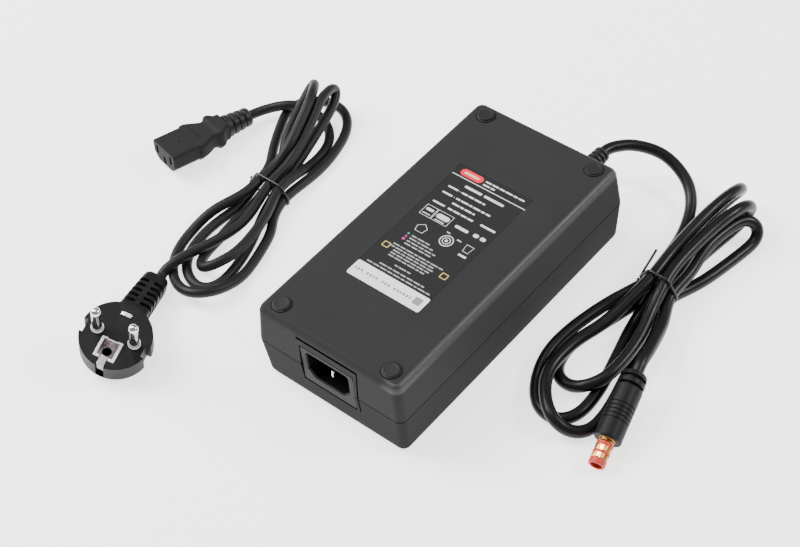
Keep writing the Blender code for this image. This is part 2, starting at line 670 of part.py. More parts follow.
def frame_groove_cutters(name):
    """Shadow groove in the wall above the inlet and down its right side."""
    high = PANEL_HIGH + GROOVE_RISE
    right = PANEL_WIDTH / 2 + GROOVE_MARGIN
    top_y = -(CASE_LENGTH / 2 - wall_inset(high)) + GROOVE_DEPTH
    side_y = -(CASE_LENGTH / 2 - wall_inset(PANEL_HIGH)) + GROOVE_DEPTH
    front = -CASE_LENGTH / 2 - WALL
    return [
        box_mesh(name + "_top", (-right, front, high - GROOVE_TOP_WIDTH / 2),
                 (right, top_y, high + GROOVE_TOP_WIDTH / 2)),
        box_mesh(name + "_side", (right - GROOVE_WIDTH / 2, front, PANEL_LOW - GAP),
                 (right + GROOVE_WIDTH / 2, side_y, high - GROOVE_TOP_WIDTH)),
    ]


def make_base_shell(parts, tools):
    """Case half with the feet and the label: bosses, ribs, standoffs, lip, seats and openings."""
    shell = tub("base_shell", CASE_HEIGHT, BASE_RIM, black_plastic("base_shell_plastic"), parts, tools)
    rib_high = CASE_HEIGHT - EDGE_RADIUS - GAP
    for index, (x, y) in enumerate(corner_places()):
        name = f"base_corner_{index + 1}"
        join(shell, tools, *boss_and_ribs(name, x, y, BASE_RIM, CASE_HEIGHT - WALL / 2, rib_high))
        cut(shell, tools,
            rod_mesh(name + "_foot_seat", (x, y, CASE_HEIGHT - FOOT_SEAT), (x, y, CASE_HEIGHT + WALL),
                     FOOT_RADIUS + GAP),
            rod_mesh(name + "_head_bore", (x, y, HEAD_SEAT), (x, y, CASE_HEIGHT), HEAD_BORE_RADIUS),
            rod_mesh(name + "_screw_bore", (x, y, PARTING_HEIGHT - WALL), (x, y, CASE_HEIGHT), BORE_RADIUS,
                     SMALL_ROUND_STEPS))
    for index, (x, y) in enumerate(standoff_places()):
        join(shell, tools, rod_mesh(f"base_standoff_{index + 1}", (x, y, BOARD_TOP + GAP),
                                    (x, y, CASE_HEIGHT - WALL / 2), STANDOFF_RADIUS, SMALL_ROUND_STEPS))
    join(shell, tools, *lip_walls("base_lip"))
    seat = LABEL_THICKNESS + GAP
    label_seat = rectangle(LABEL_LEFT - GAP, STRIP_FRONT - GAP, LABEL_RIGHT + GAP, LABEL_BACK + GAP, LABEL_CORNER)
    cut(shell, tools, plate_mesh("label_seat", [label_seat], 2 * seat),
        matrix=Matrix.Translation((0, 0, CASE_HEIGHT)))
    cut(shell, tools, inlet_window("base_window"), relief_hole("base_relief_hole"),
        *frame_groove_cutters("base_groove"))
    return shell


def lip_walls(name):
    """Tongues along the long sides that key into the cover's rebates."""
    outer = CASE_WIDTH / 2 - WALL
    inner = outer - LIP_WALL
    reach = CASE_LENGTH / 2 - FOOT_INSET_Y - 2 * BOSS_RADIUS
    meshes = []
    for side in (-1, 1):
        low_x, high_x = sorted((side * (inner - GAP), side * (outer - GAP)))
        root_low, root_high = sorted((side * (inner - GAP), side * (outer + WALL / 2)))
        label = "left" if side < 0 else "right"
        meshes.append(box_mesh(f"{name}_{label}", (low_x, -reach, COVER_RIM - LIP_HEIGHT),
                               (high_x, reach, BASE_RIM + WALL / 2)))
        meshes.append(box_mesh(f"{name}_{label}_root", (root_low, -reach, BASE_RIM + WALL / 4),
                               (root_high, reach, BASE_RIM + WALL)))
    return meshes


def make_cover_shell(parts, tools):
    """Plain case half that it rests on: screw bosses, board posts and the openings it shares."""
    shell = tub("cover_shell", 0.0, COVER_RIM, black_plastic("cover_shell_plastic"), parts, tools)
    for index, (x, y) in enumerate(corner_places()):
        name = f"cover_corner_{index + 1}"
        join(shell, tools, *boss_and_ribs(name, x, y, WALL / 2, COVER_RIM, 0.6 * PARTING_HEIGHT))
        cut(shell, tools, rod_mesh(name + "_pilot", (x, y, HEAD_SEAT - SCREW_LENGTH - 2 * GAP), (x, y, CASE_HEIGHT),
                                   BORE_RADIUS, SMALL_ROUND_STEPS))
    for index, (x, y) in enumerate(standoff_places()):
        join(shell, tools, rod_mesh(f"board_post_{index + 1}", (x, y, WALL / 2), (x, y, BOARD_LOW - GAP),
                                    STANDOFF_RADIUS, SMALL_ROUND_STEPS))
    cut(shell, tools, inlet_window("cover_window"), relief_hole("cover_relief_hole"),
        frame_groove_cutters("cover_groove")[1], light_hole("cover_light_hole"))
    return shell


def light_hole(name):
    x, y = board_spot(*LIGHT_PLACE)
    return rod_mesh(name, (x, y, -WALL), (x, y, 2 * WALL), LIGHT_RADIUS + GAP, SMALL_ROUND_STEPS)


def make_light_pipe(parts):
    """Clear pin that carries the indicator's light to the cover's face, flush with it."""
    x, y = board_spot(*LIGHT_PLACE)
    here = Matrix.Translation((x, y, 0))
    seat = WALL + GAP
    profile = [(0, LIGHT_TOP), (LIGHT_RADIUS, LIGHT_TOP), (LIGHT_RADIUS, seat + LIGHT_HEAD_LENGTH),
               (LIGHT_HEAD_RADIUS, seat + LIGHT_HEAD_LENGTH), (LIGHT_HEAD_RADIUS, seat), (LIGHT_RADIUS, seat),
               (LIGHT_RADIUS, GAP), (0, GAP)]
    turned("light_pipe", profile, make_material("light_pipe_clear", (0.75, 0.80, 0.76), 0.15), parts, here,
           SMALL_ROUND_STEPS)
    led = [(0, HANG_TOP), (INDICATOR_RADIUS, HANG_TOP), (INDICATOR_RADIUS, LIGHT_TOP + INDICATOR_DOME),
           (0.6 * INDICATOR_RADIUS, LIGHT_TOP + 0.35 * INDICATOR_DOME), (0, LIGHT_TOP + GAP)]
    turned("indicator_led", led, make_material("indicator_led_body", (0.75, 0.12, 0.08), 0.2), parts, here,
           SMALL_ROUND_STEPS)


def make_feet_and_screws(parts):
    """Stepped rubber feet over the heads of the four case screws."""
    foot = [(0, FOOT_PROUD), (FOOT_RADIUS - FOOT_LEDGE - 0.1 * MM, FOOT_PROUD), (FOOT_RADIUS - FOOT_LEDGE, FOOT_STEP),
            (FOOT_RADIUS, FOOT_STEP - 0.1 * MM), (FOOT_RADIUS, GAP - FOOT_SEAT), (0, GAP - FOOT_SEAT)]
    screw = [(0, SCREW_HEAD_HEIGHT - 0.9 * MM), (1.2 * MM, SCREW_HEAD_HEIGHT),
             (SCREW_HEAD_RADIUS - 0.5 * MM, SCREW_HEAD_HEIGHT), (SCREW_HEAD_RADIUS, SCREW_HEAD_HEIGHT - 0.6 * MM),
             (SCREW_HEAD_RADIUS, GAP), (SCREW_RADIUS, GAP), (SCREW_RADIUS, 1.0 * MM - SCREW_LENGTH),
             (0, -SCREW_LENGTH)]
    for index, (x, y) in enumerate(corner_places()):
        number = index + 1
        turned(f"foot_{number}", foot, black_rubber(f"foot_{number}_rubber"), parts,
               Matrix.Translation((x, y, CASE_HEIGHT)))
        turned(f"case_screw_{number}", screw,
               make_material(f"case_screw_{number}_steel", (0.45, 0.45, 0.46), 0.35, 1.0), parts,
               Matrix.Translation((x, y, HEAD_SEAT)), SMALL_ROUND_STEPS)


def make_labels(parts):
    """Rating label and the strip at its front end, lying in one shallow seat."""
    height = CASE_HEIGHT - LABEL_THICKNESS / 2
    label = rectangle(LABEL_LEFT, LABEL_FRONT, LABEL_RIGHT, LABEL_BACK, LABEL_CORNER)
    strip = rectangle(LABEL_LEFT, STRIP_FRONT, LABEL_RIGHT, STRIP_FRONT + STRIP_DEPTH, LABEL_CORNER)
    for name, outline, colour in (("rating_label", label, (0.05, 0.05, 0.05)),
                                  ("serial_label", strip, (0.85, 0.85, 0.84))):
        place(name, plate_mesh(name, [outline], LABEL_THICKNESS), make_material(name + "_film", colour, 0.4),
              parts, Matrix.Translation((0, 0, height)))


def cavity_outline(margin):
    """Mouth of the inlet in X and Z: a rectangle with its lower corners cut off."""
    half, rise = CAVITY_WIDTH / 2 + margin, CAVITY_HEIGHT / 2 + margin
    low, high = CAVITY_CENTRE - rise, CAVITY_CENTRE + rise
    return rounded_outline([(-half, high, CAVITY_TOP_CORNER), (-half, low + CAVITY_CHAMFER, CAVITY_CORNER),
                            (-half + CAVITY_CHAMFER, low, CAVITY_CORNER), (half - CAVITY_CHAMFER, low, CAVITY_CORNER),
                            (half, low + CAVITY_CHAMFER, CAVITY_CORNER), (half, high, CAVITY_TOP_CORNER)], 2)


def upright_plate(name, outlines, near, far):
    """Plate whose outline is in X and Z, from one Y to another."""
    mesh = plate_mesh(name, outlines, far - near)
    mesh.transform(Matrix.Translation((0, (near + far) / 2, 0)) @ Matrix.Rotation(math.radians(90), 4, "X"))
    return mesh


def pin_places():
    """Each inlet pin's name with its centre in X and Z and its tip's depth behind the panel's face."""
    return [("live", -PIN_PITCH / 2, CAVITY_CENTRE + PIN_RISE, LINE_PIN_RECESS),
            ("neutral", PIN_PITCH / 2, CAVITY_CENTRE + PIN_RISE, LINE_PIN_RECESS),
            ("earth", 0.0, CAVITY_CENTRE - PIN_RISE, EARTH_PIN_RECESS)]


def make_inlet(parts, tools):
    """Inlet body, its panel in the wall and its holding flange behind it, and its three pins."""
    half = PANEL_WIDTH / 2
    panel = rectangle(-half, PANEL_LOW, half, PANEL_HIGH, PANEL_CORNER, 2)
    back = CAVITY_FLOOR + CAVITY_WALL
    housing = place("inlet_housing", upright_plate("inlet_panel", [panel], PANEL_FACE, PANEL_BACK),
                    black_plastic("inlet_plastic"), parts)
    flange_at = -(CASE_LENGTH / 2 - wall_inset(PANEL_HIGH)) + WALL + GAP
    flange = rectangle(-half - HOLD_FLANGE, PANEL_LOW - HOLD_FLANGE, half + HOLD_FLANGE,
                       PANEL_HIGH + HOLD_FLANGE, PANEL_CORNER, 2)
    join(housing, tools, upright_plate("inlet_flange", [flange], flange_at, flange_at + FLANGE_THICKNESS),
         upright_plate("inlet_sleeve", [cavity_outline(CAVITY_WALL)], PANEL_FACE + PANEL_THICKNESS / 3, back))
    cut(housing, tools, upright_plate("inlet_cavity", [cavity_outline(0.0)], PANEL_FACE - WALL, CAVITY_FLOOR))
    for name, x, z, recess in pin_places():
        slot_x, slot_z = PIN_THICKNESS / 2 + GAP, PIN_WIDTH / 2 + GAP
        cut(housing, tools, box_mesh(f"inlet_slot_{name}", (x - slot_x, CAVITY_FLOOR - WALL, z - slot_z),
                                     (x + slot_x, back + WALL, z + slot_z)))
        make_inlet_pin(name, x, z, PANEL_FACE + recess, back, parts)


def make_inlet_pin(name, x, z, tip, back, parts):
    """Flat contact blade whose tail turns up to the circuit board behind the housing."""
    tail = back + GAP + PIN_TAIL
    low, high = z - PIN_WIDTH / 2, z + PIN_WIDTH / 2
    outline = [(tip + PIN_POINT, low), (tail, low), (tail, HANG_TOP), (back + GAP, HANG_TOP),
               (back + GAP, high), (tip + PIN_POINT, high), (tip, high - PIN_POINT), (tip, low + PIN_POINT)]
    mesh = plate_mesh(f"inlet_pin_{name}", [outline], PIN_THICKNESS)
    turn = Matrix(((0, 0, 1, x), (1, 0, 0, 0), (0, 1, 0, 0), (0, 0, 0, 1)))
    mesh.transform(turn)
    place(f"inlet_pin_{name}", mesh, nickel(f"inlet_pin_{name}_metal"), parts)


def make_board(parts):
    """Circuit board between the base's standoffs and the cover's posts."""
    outline = rectangle(-BOARD_HALF, BOARD_FRONT, BOARD_HALF, BOARD_BACK, BOARD_CORNER, 2)
    place("circuit_board", plate_mesh("circuit_board", [outline], BOARD_THICKNESS),
          make_material("circuit_board_laminate", (0.10, 0.22, 0.08), 0.5), parts,
          Matrix.Translation((0, 0, BOARD_TOP - BOARD_THICKNESS / 2)))


def hang_box(name, centre, size, drop, colour, parts, edge=BODY_EDGE):
    """Boxed component that hangs below the board by drop."""
    x, y = centre
    width, length = size
    mesh = box_mesh(name, (x - width / 2, y - length / 2, HANG_TOP - drop), (x + width / 2, y + length / 2, HANG_TOP))
    obj = place(name, mesh, make_material(name + "_finish", colour, 0.45), parts)
    bevel = obj.modifiers.new("Edge", "BEVEL")
    bevel.width = edge
    bevel.segments = 1


def hang_can(name, centre, radius, floor_gap, colour, parts):
    """Round capacitor below the board, with the rolled groove near its board end."""
    high, low = HANG_TOP, HANG_TOP - HANG_ROOM + floor_gap
    rim, groove = 0.6 * MM, 2.6 * MM
    profile = [(0, high), (radius - rim, high), (radius, high - rim), (radius, high - groove + rim),
               (radius - rim, high - groove), (radius, high - groove - rim), (radius, low + rim),
               (radius - rim, low), (0, low)]
    turned(name, profile, make_material(name + "_sleeve", colour, 0.35), parts, Matrix.Translation((*centre, 0)),
           SMALL_ROUND_STEPS)


def make_components(parts, tools):
    """What the board carries, from the mains end to the charging end."""
    dark, sleeve = (0.05, 0.05, 0.05), (0.06, 0.10, 0.22)
    make_fuse(parts)
    hang_box("x_capacitor", board_spot(*X_CAPACITOR_PLACE), X_CAPACITOR_SIZE, X_CAPACITOR_DROP, (0.75, 0.60, 0.08),
             parts)
    hang_can("bulk_capacitor", board_spot(*BULK_CAN_PLACE), BULK_CAN_RADIUS, BULK_CAN_FLOOR_GAP, sleeve, parts)
    hang_box("bridge_rectifier", board_spot(*RECTIFIER_PLACE), RECTIFIER_SIZE, RECTIFIER_DROP, dark, parts)
    make_choke(parts)
    make_transformer(parts, tools)
    make_heatsink("primary_heatsink", 1, PRIMARY_HEATSINK_SPAN, parts, tools)
    make_heatsink("secondary_heatsink", -1, SECONDARY_HEATSINK_SPAN, parts, tools)
    for name, side, share in (("switching_transistor", 1, SWITCH_PLACE), ("output_rectifier", -1,
                                                                          OUTPUT_RECTIFIER_PLACE)):
        x, y = board_spot(side * HEATSINK_SHARE, share)
        x -= side * ((HEATSINK_PLATE + SWITCH_SIZE[0]) / 2 + 4 * GAP)
        hang_box(name, (x, y), SWITCH_SIZE, SWITCH_DROP, dark, parts)
    x, y = board_spot(*OUTPUT_CAN_PLACE)
    for index in range(2):
        hang_can(f"output_capacitor_{index + 1}", (x, y + index * OUTPUT_CAN_PITCH), OUTPUT_CAN_RADIUS,
                 OUTPUT_CAN_FLOOR_GAP, sleeve, parts)


def make_fuse(parts):
    """Glass tube fuse lying along the board's edge."""
    x, y = board_spot(*FUSE_PLACE)
    z = HANG_TOP - FUSE_RADIUS - GAP / 3
    mesh = rod_mesh("fuse", (x, y - FUSE_LENGTH / 2, z), (x, y + FUSE_LENGTH / 2, z), FUSE_RADIUS, SMALL_ROUND_STEPS)
    place("fuse", mesh, make_material("fuse_glass", (0.80, 0.80, 0.76), 0.2), parts)


def make_choke(parts):
    """Toroidal common-mode choke standing below the board on a plastic foot."""
    x, y = board_spot(*CHOKE_PLACE)
    steps = 6
    profile = [(CHOKE_RING_RADIUS + CHOKE_WINDING_RADIUS * math.cos(2 * math.pi * i / steps),
                CHOKE_WINDING_RADIUS * math.sin(-2 * math.pi * i / steps)) for i in range(steps + 1)]
    centre = HANG_TOP - CHOKE_BASE_DROP - GAP - CHOKE_RING_RADIUS - CHOKE_WINDING_RADIUS
    standing = Matrix.Translation((x, y, centre)) @ Matrix.Rotation(math.radians(90), 4, "X")
    turned("choke_winding", profile, make_material("choke_enamel", (0.45, 0.16, 0.06), 0.35), parts, standing)
    hang_box("choke_base", (x, y), CHOKE_BASE_SIZE, CHOKE_BASE_DROP, (0.05, 0.05, 0.05), parts, BODY_EDGE / 2)


def make_heatsink(name, side, span, parts, tools):
    """Upright aluminium plate below the board with fins on its outer face."""
    x, low_y = board_spot(side * HEATSINK_SHARE, span[0])
    high_y = board_spot(side * HEATSINK_SHARE, span[1])[1]
    low = HANG_TOP - HANG_ROOM + HEATSINK_FLOOR_GAP
    near, far = sorted((x - side * HEATSINK_PLATE / 2, x + side * HEATSINK_PLATE / 2))
    sink = place(name, box_mesh(name, (near, low_y, low), (far, high_y, HANG_TOP)),
                 make_material(name + "_aluminium", (0.72, 0.73, 0.74), 0.4, 1.0), parts)
    first, last = low_y + GAP, high_y - GAP - FIN_WALL
    for index in range(FIN_COUNT):
        start = first + index * (last - first) / (FIN_COUNT - 1)
        fin_near, fin_far = sorted((x, x + side * (HEATSINK_PLATE / 2 + FIN_REACH)))
        join(sink, tools, box_mesh(f"{name}_fin_{index + 1}", (fin_near, start, low + FIN_END),
                                   (fin_far, start + FIN_WALL, HANG_TOP - FIN_END)))


def make_transformer(parts, tools):
    """Ferrite core round a taped winding on its bobbin."""
    x, y = board_spot(*TRANSFORMER_PLACE)
    half, reach = CORE_WIDTH / 2, CORE_LENGTH / 2
    low = HANG_TOP - HANG_ROOM + CORE_FLOOR_GAP
    core = place("transformer_core", box_mesh("transformer_core", (x - half, y - reach, low),
                                              (x + half, y + reach, HANG_TOP)),
                 make_material("transformer_ferrite", (0.08, 0.08, 0.085), 0.6), parts)
    cut(core, tools, box_mesh("transformer_window", (x - half + CORE_LEG, y - CORE_LENGTH, low + CORE_LEG),
                              (x + half - CORE_LEG, y + CORE_LENGTH, HANG_TOP - CORE_LEG)))
    wind_x = half - CORE_LEG - GAP
    wind_y = WINDING_LENGTH / 2
    outline = rectangle(-wind_x, -wind_y, wind_x, wind_y, WINDING_CORNER, 3)
    drop = HANG_TOP - low - 2 * CORE_LEG - 2 * GAP
    place("transformer_winding", plate_mesh("transformer_winding", [outline], drop),
          make_material("transformer_tape", (0.80, 0.62, 0.10), 0.4), parts,
          Matrix.Translation((x, y, HANG_TOP - CORE_LEG - GAP - drop / 2)))


def make_strain_relief(parts):
    """Ringed rubber relief gripping the case wall at the parting line."""
    tip = CASE_LENGTH / 2 + RELIEF_REACH
    profile = [(0, tip), (RELIEF_TIP_RADIUS - 0.4 * MM, tip)]
    for ring in range(RELIEF_RINGS):
        share = ring / (RELIEF_RINGS - 1)
        radius = RELIEF_TIP_RADIUS + share * (RELIEF_ROOT_RADIUS - RELIEF_TIP_RADIUS)
        start = tip - ring * RELIEF_PITCH
        profile += [(radius, start - 0.25 * MM), (radius, start - RELIEF_RING_LENGTH),
                    (radius - RELIEF_GROOVE, start - RELIEF_RING_LENGTH - 0.1 * MM),
                    (radius - RELIEF_GROOVE, start - RELIEF_PITCH + 0.1 * MM)]
    collar = CASE_LENGTH / 2 + GAP
    collar_radius = RELIEF_HEAD_RADIUS - RELIEF_SHOULDER
    profile += [(collar_radius, collar + RELIEF_COLLAR_LENGTH), (collar_radius, collar),
                (RELIEF_NECK_RADIUS, collar), (RELIEF_NECK_RADIUS, RELIEF_HEAD_FRONT),
                (RELIEF_HEAD_RADIUS, RELIEF_HEAD_FRONT), (RELIEF_HEAD_RADIUS, RELIEF_HEAD_BACK),
                (0, RELIEF_HEAD_BACK)]
    standing = Matrix.Translation((RELIEF_X, 0, PARTING_HEIGHT)) @ Matrix.Rotation(math.radians(-90), 4, "X")
    turned("strain_relief", profile, black_rubber("strain_relief_rubber"), parts, standing, SMALL_ROUND_STEPS)


def make_output_wires(parts):
    """The lead's two cores inside the case, from the relief up to the board."""
    start_y = RELIEF_HEAD_BACK - GAP
    rise = HANG_TOP - PARTING_HEIGHT
    for name, side, colour in (("positive", -1, (0.55, 0.03, 0.03)), ("negative", 1, (0.03, 0.03, 0.03))):
        x = RELIEF_X + side * WIRE_SPREAD
        route = [Vector((x, start_y - back * WIRE_REACH, PARTING_HEIGHT + up * rise))
                 for back, up in ((0.0, 0.0), (0.24, 0.04), (0.72, 0.25), (0.96, 0.58), (1.0, 1.0))]
        tube(f"output_wire_{name}", smooth_route(route, 4 * WIRE_RADIUS), WIRE_RADIUS,
             make_material(f"output_wire_{name}_sleeve", colour, 0.4), parts, 1)


def make_cords(parts):
    """Both leads, each a tube thinner by the gap so that the turns lie clear of each other."""
    for name, route, diameter in (("dc_cord", DC_CORD_ROUTE, DC_CORD_DIAMETER),
                                  ("mains_cord", MAINS_CORD_ROUTE, MAINS_CORD_DIAMETER)):
        points = [Vector(point) * MM for point in route]
        tube(name, smooth_route(points, 5 * diameter), (diameter - GAP) / 2, cord_jacket(name + "_jacket"), parts)


def tie_points(strands, radius, place_y, first_angle):
    """Once round the strands a cord's radius out, drifting sideways so that the ends pass each other."""
    centres = [Vector(strand) * MM for strand in strands]
    points = []
    for step in range(TIE_STEPS + 1):
        angle = first_angle + 2 * math.pi * step / TIE_STEPS
        out = Vector((math.cos(angle), math.sin(angle)))
        support = max(centres, key=lambda centre: centre.dot(out))
        spot = support + out * radius
        drift = (step / TIE_STEPS - 0.5) * 2.6 * TIE_RADIUS
        points.append(Vector((spot.x, place_y + drift, spot.y)))
    return points


def make_ties(parts):
    """Wire tie round each hank, with one free end."""
    for name, strands, diameter, place_y, first_angle, tail in (
            ("dc_tie", DC_TIE_STRANDS, DC_CORD_DIAMETER, DC_TIE_PLACE, DC_TIE_START, DC_TIE_TAIL),
            ("mains_tie", MAINS_TIE_STRANDS, MAINS_CORD_DIAMETER, MAINS_TIE_PLACE, MAINS_TIE_START,
             MAINS_TIE_TAIL)):
        points = tie_points(strands, diameter / 2 + TIE_SLACK + TIE_RADIUS, place_y, first_angle)
        points += [Vector(point) * MM for point in tail]
        tube(name, points, TIE_RADIUS, black_rubber(name + "_wire"), parts, 1)


def make_dc_plug(parts):
    """Round grip with rings and grip lines, brass collar, hollow insulating tip and two contact bands."""
    direction = (DC_PLUG_FRONT - DC_PLUG_REAR).normalized()
    length = (DC_PLUG_FRONT - DC_PLUG_REAR).length
    pose = along_matrix(DC_PLUG_REAR, direction)
    radius = DC_PLUG_RADIUS
    back_to_front = [(0, 0), (radius - 2.2 * MM, 0), (radius - 1.0 * MM, 1.2 * MM), (radius - 0.5 * MM, 3.2 * MM),
                     (radius - 1.5 * MM, 3.3 * MM), (radius - 1.5 * MM, 4.4 * MM), (radius - 0.4 * MM, 4.5 * MM),
                     (radius - 0.3 * MM, 6.9 * MM), (radius - 1.4 * MM, 7.0 * MM), (radius - 1.4 * MM, 8.1 * MM),
                     (radius - 0.2 * MM, 8.2 * MM)]
    for line in range(DC_PLUG_GRIP_LINES):
        start = DC_PLUG_GRIP_START + line * DC_PLUG_GRIP_PITCH
        back_to_front += [(radius - 0.1 * MM, start), (radius - 0.5 * MM, start + 0.35 * MM),
                          (radius - 0.1 * MM, start + 0.7 * MM)]
    seat_radius = DC_PLUG_TIP_RADIUS + GAP
    back_to_front += [(radius, length - 0.5 * MM), (radius - 0.5 * MM, length), (seat_radius, length),
                      (seat_radius, length - DC_PLUG_SEAT), (0, length - DC_PLUG_SEAT)]
    turned("dc_plug_grip", back_to_front[::-1], black_plastic("dc_plug_plastic"), parts, pose)
    make_dc_plug_tip(pose, length, parts)


def make_dc_plug_tip(pose, length, parts):
    """Collar, tip and bands, all turned about the plug's axis."""
    tip_radius = DC_PLUG_TIP_RADIUS
    foot = length - DC_PLUG_SEAT + GAP
    shoulder = length + DC_PLUG_COLLAR_LENGTH
    collar = [(0, shoulder), (tip_radius - 0.8 * MM, shoulder), (tip_radius - 0.3 * MM, shoulder - 0.5 * MM),
              (tip_radius - 0.3 * MM, shoulder - 1.4 * MM), (tip_radius, shoulder - 1.6 * MM), (tip_radius, foot),
              (0, foot)]
    turned("dc_plug_collar", collar, brass("dc_plug_collar_metal"), parts, pose)
    start = shoulder + GAP
    end = length + DC_PLUG_TIP_LENGTH
    inner = tip_radius - DC_PLUG_BAND_DEPTH
    outline = [(0, end - DC_PLUG_BORE_DEPTH), (DC_PLUG_BORE_RADIUS, end - DC_PLUG_BORE_DEPTH),
               (DC_PLUG_BORE_RADIUS, end - 0.4 * MM), (DC_PLUG_BORE_RADIUS + 0.4 * MM, end),
               (tip_radius - 0.6 * MM, end), (tip_radius - 0.1 * MM, end - 0.6 * MM)]
    for offset in reversed(DC_PLUG_BAND_OFFSETS):
        low, high = length + offset - GAP, length + offset + DC_PLUG_BAND_LENGTH + GAP
        outline += [(tip_radius, high), (inner, high), (inner, low), (tip_radius, low)]
    outline += [(tip_radius, start), (0, start)]
    turned("dc_plug_insulator", outline, make_material("dc_plug_insulator_nylon", (0.86, 0.22, 0.15), 0.4), parts,
           pose)
    for number, offset in enumerate(DC_PLUG_BAND_OFFSETS):
        low, high = length + offset, length + offset + DC_PLUG_BAND_LENGTH
        band = [(inner + GAP, low), (inner + GAP, high), (tip_radius, high), (tip_radius, low), (inner + GAP, low)]
        turned(f"dc_plug_band_{number + 1}", band, brass(f"dc_plug_band_{number + 1}_metal"), parts, pose)


def connector_section(width, height, chamfer, radius, along, rise=0.0):
    """Ring of points for the connector: a rectangle whose lower corners are cut off by chamfer."""
    half, up = width / 2, height / 2
    corners = [(-half, up, radius), (-half, -up + chamfer, radius), (-half + chamfer, -up, radius),
               (half - chamfer, -up, radius), (half, -up + chamfer, radius), (half, up, radius)]
    return [(x, along, z + rise) for x, z in rounded_outline(corners, 2)]


def make_connector(parts, tools):
    """Mains connector: chamfered insert, shoulder, waist and finger flange, lofted, then its relief."""
    along = CONNECTOR_REAR - CONNECTOR_FACE
    level = along.cross(Vector((0, 0, 1))).normalized()
    pose = axes_matrix(CONNECTOR_FACE, level, along)
    width, height, chamfer = CONNECTOR_WIDTH, CONNECTOR_HEIGHT, CONNECTOR_CHAMFER
    insert = CONNECTOR_INSERT
    small, soft = 0.6 * MM, 1.4 * MM
    rings = [
        connector_section(width - 0.8 * MM, height - 0.8 * MM, chamfer, small, 0.0),
        connector_section(width, height, chamfer, small, 0.5 * MM),
        connector_section(width, height, chamfer, small, insert),
        connector_section(width + 2.0 * MM, height + 1.2 * MM, chamfer + 0.4 * MM, small, insert + 0.3 * MM),
        connector_section(width + 2.0 * MM, height + 1.2 * MM, chamfer + 0.4 * MM, small, insert + 1.8 * MM),
        connector_section(width - 2.4 * MM, height - 0.2 * MM, chamfer, soft, insert + 6.8 * MM),
        connector_section(width - 6.4 * MM, height - 1.6 * MM, chamfer - 0.6 * MM, soft, insert + 11.4 * MM),
        connector_section(width - 2.4 * MM, height + 1.6 * MM, chamfer, soft, insert + 13.6 * MM),
        connector_section(width - 3.0 * MM, height + 1.2 * MM, chamfer, soft, insert + 15.6 * MM),
        connector_section(width - 8.4 * MM, height - 1.4 * MM, chamfer - 1.2 * MM, soft, insert + 18.2 * MM),
        connector_section(width - 9.0 * MM, height - 2.0 * MM, chamfer - 1.4 * MM, soft, insert + 20.6 * MM),
    ]
    body = place("connector_body", loft_mesh("connector_body", rings), black_plastic("connector_plastic"), parts, pose)
    for name, x, z in slot_places():
        make_connector_contact(body, name, x, z, pose, parts, tools)
    make_connector_relief(along.length, insert + 20.6 * MM + GAP, pose, parts)


def slot_places():
    """Each contact slot's name with its centre in the connector's X and Z."""
    return [("live", -SLOT_PITCH / 2, SLOT_RISE), ("neutral", SLOT_PITCH / 2, SLOT_RISE),
            ("earth", 0.0, SLOT_RISE - SLOT_DROP)]


def make_connector_contact(body, name, x, z, pose, parts, tools):
    half_x, half_z = SLOT_WIDTH / 2, SLOT_HEIGHT / 2
    cut(body, tools, box_mesh(f"connector_slot_{name}", (x - half_x, -WALL, z - half_z),
                              (x + half_x, SLOT_DEPTH, z + half_z)), matrix=pose)
    mesh = box_mesh(f"connector_contact_{name}", (x - half_x + GAP, CONTACT_RECESS, z - half_z + GAP),
                    (x + half_x - GAP, SLOT_DEPTH - GAP, z + half_z - GAP))
    place(f"connector_contact_{name}", mesh, brass(f"connector_contact_{name}_metal"), parts, pose)


def make_connector_relief(length, start, pose, parts):
    """Ringed relief of the mains connector, a piece of its own behind the finger flange."""
    end = length - GAP
    pitch = (end - start) / CONNECTOR_RELIEF_RINGS
    profile = [(0, end)]
    for ring in range(CONNECTOR_RELIEF_RINGS):
        radius = CONNECTOR_RELIEF_RADIUS + ring * CONNECTOR_RELIEF_STEP
        inner = radius - CONNECTOR_RELIEF_GROOVE
        high = end - ring * pitch
        profile += [(radius - 0.5 * MM, high), (radius, high - 0.6 * MM), (radius, high - pitch + 1.2 * MM)]
        if ring < CONNECTOR_RELIEF_RINGS - 1:
            profile += [(inner, high - pitch + 1.1 * MM), (inner, high - pitch + 0.1 * MM)]
    profile += [(CONNECTOR_RELIEF_RADIUS + CONNECTOR_RELIEF_RINGS * CONNECTOR_RELIEF_STEP, start), (0, start)]
    turned("connector_relief", profile, black_rubber("connector_relief_rubber"), parts,
           pose @ Matrix.Rotation(math.radians(-90), 4, "X"), SMALL_ROUND_STEPS + 2)


def arm_section(width, height, along):
    return [(x, along, z) for x, z in rectangle(-width / 2, -height / 2, width / 2, height / 2, ARM_CORNER, 2)]


def make_wall_plug(parts, tools):
    """Round side-earth plug with an arm angled back from its face, lying with its pins up."""
    pose = axes_matrix(PLUG_CENTRE, PLUG_ACROSS, PLUG_UP)
    radius, depth = PLUG_RADIUS, PLUG_DEPTH
    profile = [(0, 0), (radius - 0.4 * MM, 0), (radius, -0.4 * MM), (radius + 0.2 * MM, -depth + 1.4 * MM),
               (radius - 1.0 * MM, -depth), (0, -depth)]
    body = turned("plug_body", profile, black_plastic("plug_plastic"), parts, pose, PLUG_STEPS)
    arm_direction = Vector((0, math.cos(PLUG_ARM_ANGLE), -math.sin(PLUG_ARM_ANGLE)))
    arm_pose = pose @ axes_matrix(PLUG_ARM_END - arm_direction * PLUG_ARM_LENGTH, (1, 0, 0), arm_direction)
    add_arm(body, arm_pose, tools)
    cut_plug_notches(body, pose, tools)
    add_earth(body, pose, parts, tools)
    for name, side in (("left", -1), ("right", 1)):
        make_plug_pin(body, name, side * PLUG_PIN_SPACING / 2, pose, parts, tools)


